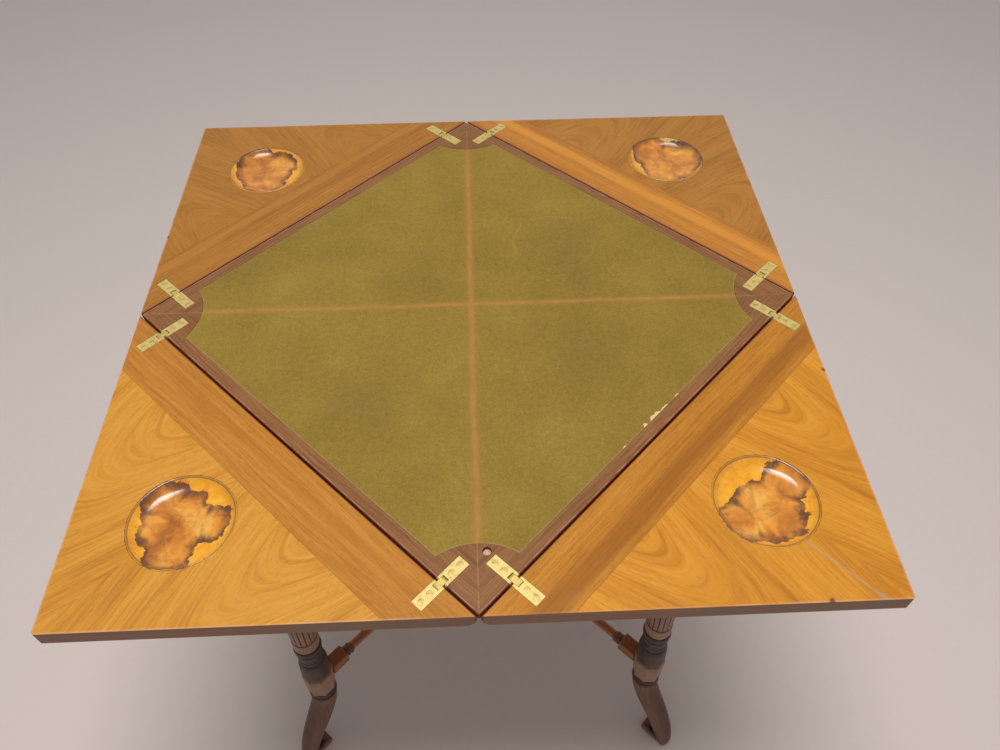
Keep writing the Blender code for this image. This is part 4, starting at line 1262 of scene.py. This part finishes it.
@dataclass(frozen=True)
class Leg:
    """One turned leg. A drop is measured down from the table's top.

    Args:
        side: which corner.
        segments: points round the turned part.
        block_half: half the top block's side.
        reeds: how many the shaft has.
        reed_depth: the grooves' depth.
        reeds_from: the drop at which they start.
        reeds_to: the drop at which they end.
        shaft_top: the shaft's radius there above.
        shaft_end: its radius there below.
        lower_from: the drop at which the shaped lower leg starts.
        inner_reach: how far its inner edge sweeps outwards.
        outer_reach: how far its outer edge does.
        lower_half: half its depth at the top.
        scroll: the foot's scroll: its radius.
        scroll_place: the scroll's middle from the leg's axis.
        toe_height: the toe's.
        toe_round: how far the toe's tip is rounded.
        sole_round: how far the sole's sides are rounded.
        toe_width: the lower leg's width at the floor.
        top_width: what its width gains up to the top.
        dark_zones: between which drops it is painted dark, as shade.
        lit_zones: between which drops light is painted on it, as the paler colour.
    """

    side: Side
    segments: int = 192
    block_half: float = 0.021
    reeds: int = 16
    reed_depth: float = 0.0017
    reeds_from: float = 0.1381
    reeds_to: float = 0.3738
    shaft_top: float = 0.0202
    shaft_end: float = 0.0174
    lower_from: float = 0.5658
    inner_reach: float = 0.061
    outer_reach: float = 0.052
    lower_half: float = 0.0172
    scroll: float = 0.0130
    scroll_place: float = 0.0325
    toe_height: float = 0.015
    toe_round: float = 0.0065
    sole_round: float = 0.0035
    toe_width: float = 0.0210
    top_width: float = 0.0134
    dark_zones: tuple[Pair, ...] = ((0.3985, 0.4940), (0.5432, 0.568))
    lit_zones: tuple[Pair, ...] = ((0.495, 0.5432), (0.3756, 0.3975))

    @staticmethod
    def rows(pairs: Sequence[Pair] | np.ndarray, square: int = 0, eight: int = 0) -> np.ndarray:
        """Rings without reeds, from drops and radii."""
        return np.pad(np.asarray(pairs, float), ((0, 0), (0, 3))) + (0, 0, square, eight, 0)

    def stations(self) -> np.ndarray:
        """The turned part's rings from the top down.

        Returns:
            Rows of drop, radius, whether it is square, whether it is eight-sided, and reed depth.
        """
        block = ((TABLE_TOP - FRAME_TOP, self.block_half), (0.1085, self.block_half), (0.1100, 0.0195))
        neck, rings, collar = (Shape.softened(np.array(t) * 1e-4, 0.0008, 2) for t in (NECK, RINGS, COLLAR))
        drops = np.linspace(self.reeds_from, self.reeds_to, 60)
        share = (drops - self.reeds_from) / (self.reeds_to - self.reeds_from)
        radii = self.shaft_end + (self.shaft_top - self.shaft_end) * np.sqrt(np.clip(1.0 - share, 0.0, 1.0))
        run_in = np.clip((drops - self.reeds_from) / 0.004, 0, 1)
        depth = self.reed_depth * np.sqrt(run_in * np.clip((self.reeds_to - drops) / 0.006, 0, 1))
        shaft = np.stack([drops, radii, 0 * drops, 0 * drops, depth], -1)
        upper = (self.rows(block, square=1), self.rows(neck), shaft, self.rows(rings))
        return np.concatenate([*upper, self.rows(np.array(EIGHT) * 1e-4, eight=1), self.rows(collar)])

    def turned_part(self) -> tuple[np.ndarray, np.ndarray, np.ndarray]:
        """The leg down to its collar, as one surface of angle and drop.

        A round ring has one radius. On a square or eight-sided one the radius is the distance to
        the face over the cosine of the angle from the face's middle. A reed's groove is deepest
        where the angle meets its edge, and falls off with the seventh power of the distance.

        Returns:
            Points, and at each one its painted shade and its share of the paler colour.
        """
        rows = self.stations()
        drop, ring, squared, eighth, depth = (rows[:, i, None] for i in range(5))
        angle = np.linspace(0.0, math.tau, self.segments, endpoint=False)
        square = 1.0 / np.cos((angle % (math.pi / 2)) - math.pi / 4)
        eight = 1.0 / np.cos(((angle + math.pi / 8) % (math.pi / 4)) - math.pi / 8)
        reed = np.abs(((angle * self.reeds / math.tau) % 1.0) * 2.0 - 1.0) ** 7
        form = np.where(squared > 0, square, np.where(eighth > 0, eight, 1.0))
        radius = ring * form - depth * reed
        height = np.broadcast_to(TABLE_TOP - drop, radius.shape)
        points = np.stack([radius * np.cos(angle), radius * np.sin(angle), height], -1)
        # Painted shade where a point lies in below a smooth run through the profile, in the reeds' grooves
        # and over the dark zones. The paler colour is full over the lit zones, as painted light, three
        # quarters elsewhere, and less where shade is painted.
        smooth_drops = (0.12, 0.138, 0.374, 0.44, 0.487, 0.545, 0.57)
        smooth = np.interp(drop, smooth_drops, (0.020, 0.0206, 0.0182, 0.019, 0.021, 0.0202, 0.020))
        hollow = np.clip((smooth - radius / form) / 0.0026, 0.0, 1.0)
        hollow = np.where(squared + eighth > 0, 0.0, hollow)
        hollow = np.where(depth > 0, np.clip(reed * 1.1 - 0.15, 0, 1), hollow)
        zones = (self.dark_zones, self.lit_zones)
        dark, pale = (sum((drop > high) & (drop < low) for high, low in zone) > 0 for zone in zones)
        hollow = np.maximum(hollow, 0.62 * dark)
        return points, hollow, np.where(dark, 0.0, np.where(pale, 1.0, 0.75)) * (1.0 - hollow)

    def lower_edges(self, height: np.ndarray, length: float) -> tuple[np.ndarray, np.ndarray]:
        """Where the lower leg's inner and outer edges are: smooth steps outwards, from the bend down.

        Args:
            height: heights above the floor.
            length: the lower leg's.

        Returns:
            The inner edge and the outer one.
        """
        bend = length - 0.008
        early = np.maximum(bend - height, 0.0) / bend
        inner, outer = (share * share * (3 - 2 * share) for share in (early, early**0.75))
        return self.inner_reach * inner - self.lower_half, self.outer_reach * outer + self.lower_half

    def lower_outline(self, length: float) -> np.ndarray:
        """Side view of the lower leg: down its inner edge, round its scroll and toe, and up its outer edge.

        Args:
            length: the lower leg's.

        Returns:
            Rows of x, z and how far the sides round off there.
        """
        crease = math.radians(52)
        inner = np.linspace(length, self.scroll * (1 + math.sin(crease)), 44)
        outer = np.linspace(self.toe_height, length, 44)
        turn = np.linspace(crease, 3 * math.pi / 2, 40)[1:]
        tip = np.linspace(-math.pi / 2, 0.0, 14)[:-1]
        toe = float(self.lower_edges(np.array(self.toe_height), length)[1]) - self.toe_round
        sole = self.sole_round + 0.0075 * (tip + math.pi / 2) / (math.pi / 2)
        scroll_x = self.scroll_place + self.scroll * np.cos(turn)
        parts = (
            (self.lower_edges(inner, length)[0], inner, 0.0110 + 0.0025 * inner / length),
            (scroll_x, self.scroll * (1 + np.sin(turn)), self.sole_round + 0 * turn),
            (toe + self.toe_round * np.cos(tip), self.toe_height * (1 + np.sin(tip)), sole),
            (self.lower_edges(outer, length)[1], outer, 0.0110 + 0.0025 * outer / length),
        )
        return np.concatenate([np.stack(part, -1) for part in parts])

    def lower_part(self) -> tuple[np.ndarray, np.ndarray, np.ndarray]:
        """The shaped lower leg: its side view carried across, drawn in along its normals towards both sides.

        Returns:
            Points, and at each one its painted shade and its share of the paler colour.
        """
        length = TABLE_TOP - self.lower_from
        line = self.lower_outline(length)
        along = np.gradient(line[:, :2], axis=0)
        along /= np.linalg.norm(along, axis=1, keepdims=True)
        inward = np.stack([-along[:, 1], along[:, 0]], -1)
        width = self.toe_width + self.top_width * np.sqrt(np.clip(line[:, 1] / length, 0.0, 1.0))
        quarter = np.linspace(math.pi / 2, 0.0, 9)
        turn = np.concatenate([quarter, quarter[::-1]])[:, None]
        side = np.repeat([1.0, -1.0], 9)[:, None]
        rounding = line[None, :, 2]
        flat = line[None, :, :2] + inward[None] * (rounding * (1 - np.cos(turn)))[..., None]
        across = side * (width / 2 - rounding * (1 - np.sin(turn)))
        points = np.stack([flat[..., 0], across, flat[..., 1]], -1)
        # Painted shade in the crook by the scroll. The paler colour is strongest on the two flat sides and
        # weakest round the outline.
        near_scroll = np.exp(-(((line[:, 0] - 0.040) / 0.008) ** 2) - (((line[:, 1] - 0.024) / 0.010) ** 2))
        hollow = np.broadcast_to(near_scroll[None] * 0.9, across.shape)
        worn = np.broadcast_to(np.clip(1.15 - np.cos(turn) ** 3, 0.0, 1.0) * 0.38, across.shape)
        return points, hollow, worn

    def build(self, finish: bpy.types.Material) -> None:
        """Leans both parts outwards as one piece, and dresses it.

        Args:
            finish: the leg's material.
        """
        parts = [self.turned_part(), self.lower_part()]
        grids = [points + (FRAME_TOP - points[..., 2:]) * (LEG_SPLAY, 0.0, 0.0) for points, _, _ in parts]
        grids = [Shape.turned_round(grid, self.side.turn, (LEG_FROM_CENTRE, 0.0, 0.0)) for grid in grids]
        leg = Shape.solid("turned_leg_" + self.side.label, grids, 34.0, inside_out=True)
        hollow, worn = (np.concatenate([part[i].reshape(-1) for part in parts]) for i in (1, 2))
        Shape.keep(leg, hollow=hollow, worn=worn)
        adopt(leg, "frame", "frame", finish, "leg_" + self.side.label)


@dataclass(frozen=True)
class StretcherArm:
    """One arm of the stretcher: a turned rod that ends in a square block against the leg.

    Args:
        side: which leg it goes to.
        start: where it leaves the boss.
        rod: the rod's greatest radius.
        block_half: half the block's side.
        block_length: its length.
        segments: points round it.
        profile: the rod's, as shares of its length back from the block and of its radius.
    """

    side: Side
    start: float = 0.0343
    rod: float = 0.0085
    block_half: float = 0.01075
    block_length: float = 0.029
    segments: int = 96
    profile: tuple[Pair, ...] = (
        (1.0, 0.80), (0.985, 0.98), (0.968, 1.02), (0.950, 0.98), (0.938, 0.78), (0.925, 0.76), (0.85, 0.86),
        (0.70, 0.95), (0.56, 1.0), (0.42, 0.94), (0.30, 0.84), (0.15, 0.77), (0.052, 0.73), (0.048, 0.80),
        (0.042, 0.98), (0.034, 1.06), (0.026, 1.0), (0.022, 0.90), (0.018, 0.98), (0.012, 1.06),
        (0.004, 0.98), (0.0, 0.80),
    )

    @staticmethod
    def leg_face(height: np.ndarray) -> np.ndarray:
        """How far the leg's eight-sided block is from the pivot at this height, less the joint's gap."""
        apothem = 0.0208 - 0.0012 * (0.245 - height) / 0.049
        return LEG_FROM_CENTRE + LEG_SPLAY * (FRAME_TOP - height) - apothem - 0.0003

    def build(self, finish: bpy.types.Material) -> None:
        """Turns the rod and its beads, squares the block, and fits its end to the leg.

        Args:
            finish: the arm's material.
        """
        face = float(self.leg_face(np.array(STRETCHER_HEIGHT)))
        block = face - self.block_length
        rod = [(block - (block - self.start) * back, self.rod * radius) for back, radius in self.profile]
        rows = [(x, r, 0) for x, r in Shape.softened(rod, 0.0012, 2)]
        rows += [(block, self.rod * 0.80, 0), (block, self.block_half * 0.86, 1)]
        rows += [(x, self.block_half, 1) for x in (block + 0.0015, *np.linspace(block + 0.003, face, 10))]
        x, ring, squared = np.array(rows, float).T[..., None]
        angle = np.linspace(0.0, math.tau, self.segments, endpoint=False)
        cos, sin = np.cos(angle), np.sin(angle)
        square = np.minimum(1.0 / np.maximum(np.abs(cos), np.abs(sin)), 1.86 / (np.abs(cos) + np.abs(sin)))
        radius = ring * np.where(squared > 0, square, 1.0)
        points = np.stack([x + 0 * radius, radius * cos, STRETCHER_HEIGHT + radius * sin], -1)
        points[-1, :, 0] = self.leg_face(points[-1, :, 2])
        # Painted shade in the narrow neck by the block, over the collar just before it, and lightly over the
        # whole block; the paler colour fills the rest.
        hollow = np.clip((0.88 - ring / self.rod) / 0.12, 0, 1) * (np.abs(x - block) < 0.014)
        hollow = np.maximum(hollow, 0.75 * ((x > block - 0.012) & (x < block)))
        hollow = np.broadcast_to(np.maximum(hollow, 0.30 * (x >= block)), radius.shape)
        points = Shape.turned_round(points, self.side.turn)
        arm = Shape.solid("stretcher_arm_" + self.side.label, [points], 30.0)
        Shape.keep(arm, hollow=hollow, worn=(1.0 - hollow) * 0.7)
        adopt(arm, "frame", "frame", finish, "stretcher_" + self.side.label)


@dataclass(frozen=True)
class StretcherBoss:
    """The turned middle of the stretcher with its finial.

    Args:
        radius: the drum's radius.
        half: half its height.
        finial: the finial's height.
        drum: the drum's profile, as shares of half its height and of its radius.
        top: the finial's, as shares of its height and of the drum's radius.
    """

    radius: float = 0.034
    half: float = 0.017
    finial: float = 0.040
    drum: tuple[Pair, ...] = (
        (-1.0, 0.12), (-1.0, 0.52), (-0.95, 0.58), (-0.90, 0.72), (-0.84, 0.90), (-0.76, 0.985), (-0.68, 1.0),
        (0.68, 1.0), (0.76, 0.985), (0.84, 0.90), (0.90, 0.72), (0.95, 0.62),
    )
    top: tuple[Pair, ...] = (
        (0.0, 0.56), (0.08, 0.55), (0.12, 0.46), (0.16, 0.34), (0.24, 0.27), (0.30, 0.28), (0.38, 0.38),
        (0.46, 0.44), (0.54, 0.47), (0.62, 0.46), (0.70, 0.43), (0.78, 0.37), (0.86, 0.28), (0.93, 0.17),
        (0.98, 0.09), (1.0, 0.03),
    )

    def build(self, finish: bpy.types.Material) -> None:
        """Turns the boss.

        Args:
            finish: its material.
        """
        corners = [(self.radius * r, STRETCHER_HEIGHT + self.half * up) for up, r in self.drum]
        corners += [(self.radius * r, STRETCHER_HEIGHT + self.half + self.finial * up) for up, r in self.top]
        line = Shape.softened(corners, 0.0015, 2)
        rings = Shape.lathe(line, 96)
        boss = Shape.solid("turned_boss", [rings], 34.0)
        # Painted shade where the turning is narrowest, at the finial's neck and the middle of the underside.
        low = line[:, 1] < STRETCHER_HEIGHT + 0.035
        hollow = np.clip((0.30 - line[:, 0] / self.radius) / 0.1, 0, 1) * low
        hollow = np.broadcast_to(hollow[:, None], rings.shape[:2])
        Shape.keep(boss, hollow=hollow * 0.8, worn=(1.0 - hollow) * 0.7)
        adopt(boss, "frame", "frame", finish, "stretcher_boss")


@dataclass(frozen=True)
class LiftingPeg:
    """The peg in the board's front corner: a dowel with a foot.

    Args:
        place: its axis, at the height of the table's top.
        profile: its radius and height, from there.
    """

    place: Triple = (0.0090, -0.3263, TABLE_TOP)
    profile: tuple[Pair, ...] = (
        (0.0004, -0.0172), (0.0088, -0.0172), (0.0090, -0.0170), (0.0090, -0.0144), (0.0088, -0.0142),
        (0.0042, -0.0142), (0.0042, -0.0046), (0.0039, -0.0042), (0.0030, -0.0040), (0.0004, -0.0039),
    )

    def build(self) -> None:
        """Turns the peg and dresses it."""
        rings = Shape.lathe(Shape.softened(self.profile, 0.0003, 2), 64, self.place)
        peg = Shape.solid("push_peg", [rings], 40.0)
        adopt(peg, "peg", "peg", TurnedFinish("peg_wood", PEG_WOOD).make(), "lifting_peg")


class Underframe:
    """The legs, rails, bearer, stretcher and pivot."""

    def build(self) -> None:
        """Builds and dresses the underframe."""
        leg_finish = TurnedFinish("leg_walnut", FRAME_WOOD, "b88c70", 0.75).make()
        for side in Side:
            Leg(side).build(leg_finish)
        rod_finish = TurnedFinish("rod_walnut", ROD_WOOD, "aa6c42", 0.5, Run.OUTWARD).make()
        for side in Side:
            StretcherArm(side).build(rod_finish)
        StretcherBoss().build(rod_finish)
        rail_finish = TurnedFinish("rail_walnut", FRAME_WOOD, run=Run.LEVEL).make()
        dress(rail_finish, "rail_front", "rail_back", "rail_left", "rail_right", "pivot_bearer")
        dress(IronFinish().make(), "pivot_bolt", "pivot_washer", "pivot_nut")
        dress(BrassFinish("keeper_brass").make(), "peg_keeper")


@dataclass(frozen=True)
class Studio:
    """The floor, the light and the camera.

    Args:
        focal: the camera's focal length in pixels.
        width: the picture's width in pixels.
        sensor: the sensor's width in millimetres.
        eye: where the camera is.
        forward: which way it looks.
        up: its upward direction.
        floor_reach: the floor's sides from the middle.
        seen_sky: how bright the sky is for the camera and in reflections.
        lit_sky: how bright it is as a light.
    """

    focal: float = 807.4
    width: float = 1000.0
    sensor: float = 36.0
    eye: Triple = (0.00832, -0.68799, 1.41931)
    forward: Triple = (0.0243, 0.6464, -0.7626)
    up: Triple = (0.0336, 0.7619, 0.6469)
    floor_reach: float = 16.0
    seen_sky: float = 0.55
    lit_sky: float = 0.25

    def camera(self) -> None:
        """Stands the camera where the photograph was taken."""
        data = bpy.data.cameras.new("camera")
        data.sensor_width = self.sensor
        data.lens = self.focal / self.width * self.sensor
        data.clip_start = 0.05
        cam = bpy.data.objects.new("camera", data)
        forward = Vector(self.forward).normalized()
        right = forward.cross(Vector(self.up)).normalized()
        turn = Matrix((right, right.cross(forward), -forward)).transposed()
        cam.matrix_world = Matrix.Translation(self.eye) @ turn.to_4x4()
        bpy.context.scene.collection.objects.link(cam)
        bpy.context.scene.camera = cam

    def lamp(self, name: str, place: Triple, size: Pair, power: float) -> None:
        """A soft rectangular lamp over the table, aimed at its top.

        Args:
            name: its name.
            place: where it hangs.
            size: its sides.
            power: in watts.
        """
        data = bpy.data.lights.new(name, "AREA")
        data.shape = "RECTANGLE"
        data.size, data.size_y = size
        data.energy = power
        obj = bpy.data.objects.new(name, data)
        obj.location = place
        obj.rotation_euler = (Vector((0.0, -0.1, 0.7)) - Vector(place)).to_track_quat("-Z", "Y").to_euler()
        bpy.context.scene.collection.objects.link(obj)

    def floor(self) -> None:
        """A plain level floor."""
        corners = np.array([(-1, -1, 0), (1, -1, 0), (1, 1, 0), (-1, 1, 0)]) * self.floor_reach
        floor = Shape.piece("floor", corners, [[0, 1, 2, 3]])
        floor.data.materials.append(FloorFinish().make())

    def world(self) -> None:
        """Even light from all round, from a sky that looks brighter than it lights."""
        world = bpy.data.worlds.new("studio")
        world.use_nodes = True
        nodes = Nodes(world.node_tree)
        sky = nodes.tree.nodes["Background"]
        rays = ("Is Camera Ray", "Is Glossy Ray", "Is Transmission Ray")
        camera, glossy, through = (nodes.node("ShaderNodeLightPath", out=ray) for ray in rays)
        nodes.feed(sky.inputs["Color"], "f2f4f6")
        seen = camera.most(glossy).most(through)
        nodes.feed(sky.inputs["Strength"], seen * (self.seen_sky - self.lit_sky) + self.lit_sky)
        bpy.context.scene.world = world

    def build(self) -> None:
        """Sets the stage."""
        self.camera()
        self.floor()
        self.world()
        self.lamp("overhead", (0.0, -0.30, 4.2), (2.0, 1.4), 53.0)
        self.lamp("ceiling", (-0.05, -0.36, 2.6), (0.95, 0.5), 12.5)
        bpy.context.scene.view_settings.view_transform = "Standard"


def main() -> None:
    """Builds the scene in order."""
    logging.basicConfig(level=logging.INFO, format="%(message)s")
    Studio().build()
    Leaves().build()
    for finish in BURRS:
        CounterDish(finish).build()
    PlayingCloth().build()
    Hinges().build()
    LiftingPeg().build()
    Underframe().build()


if __name__ == "__main__":
    main()
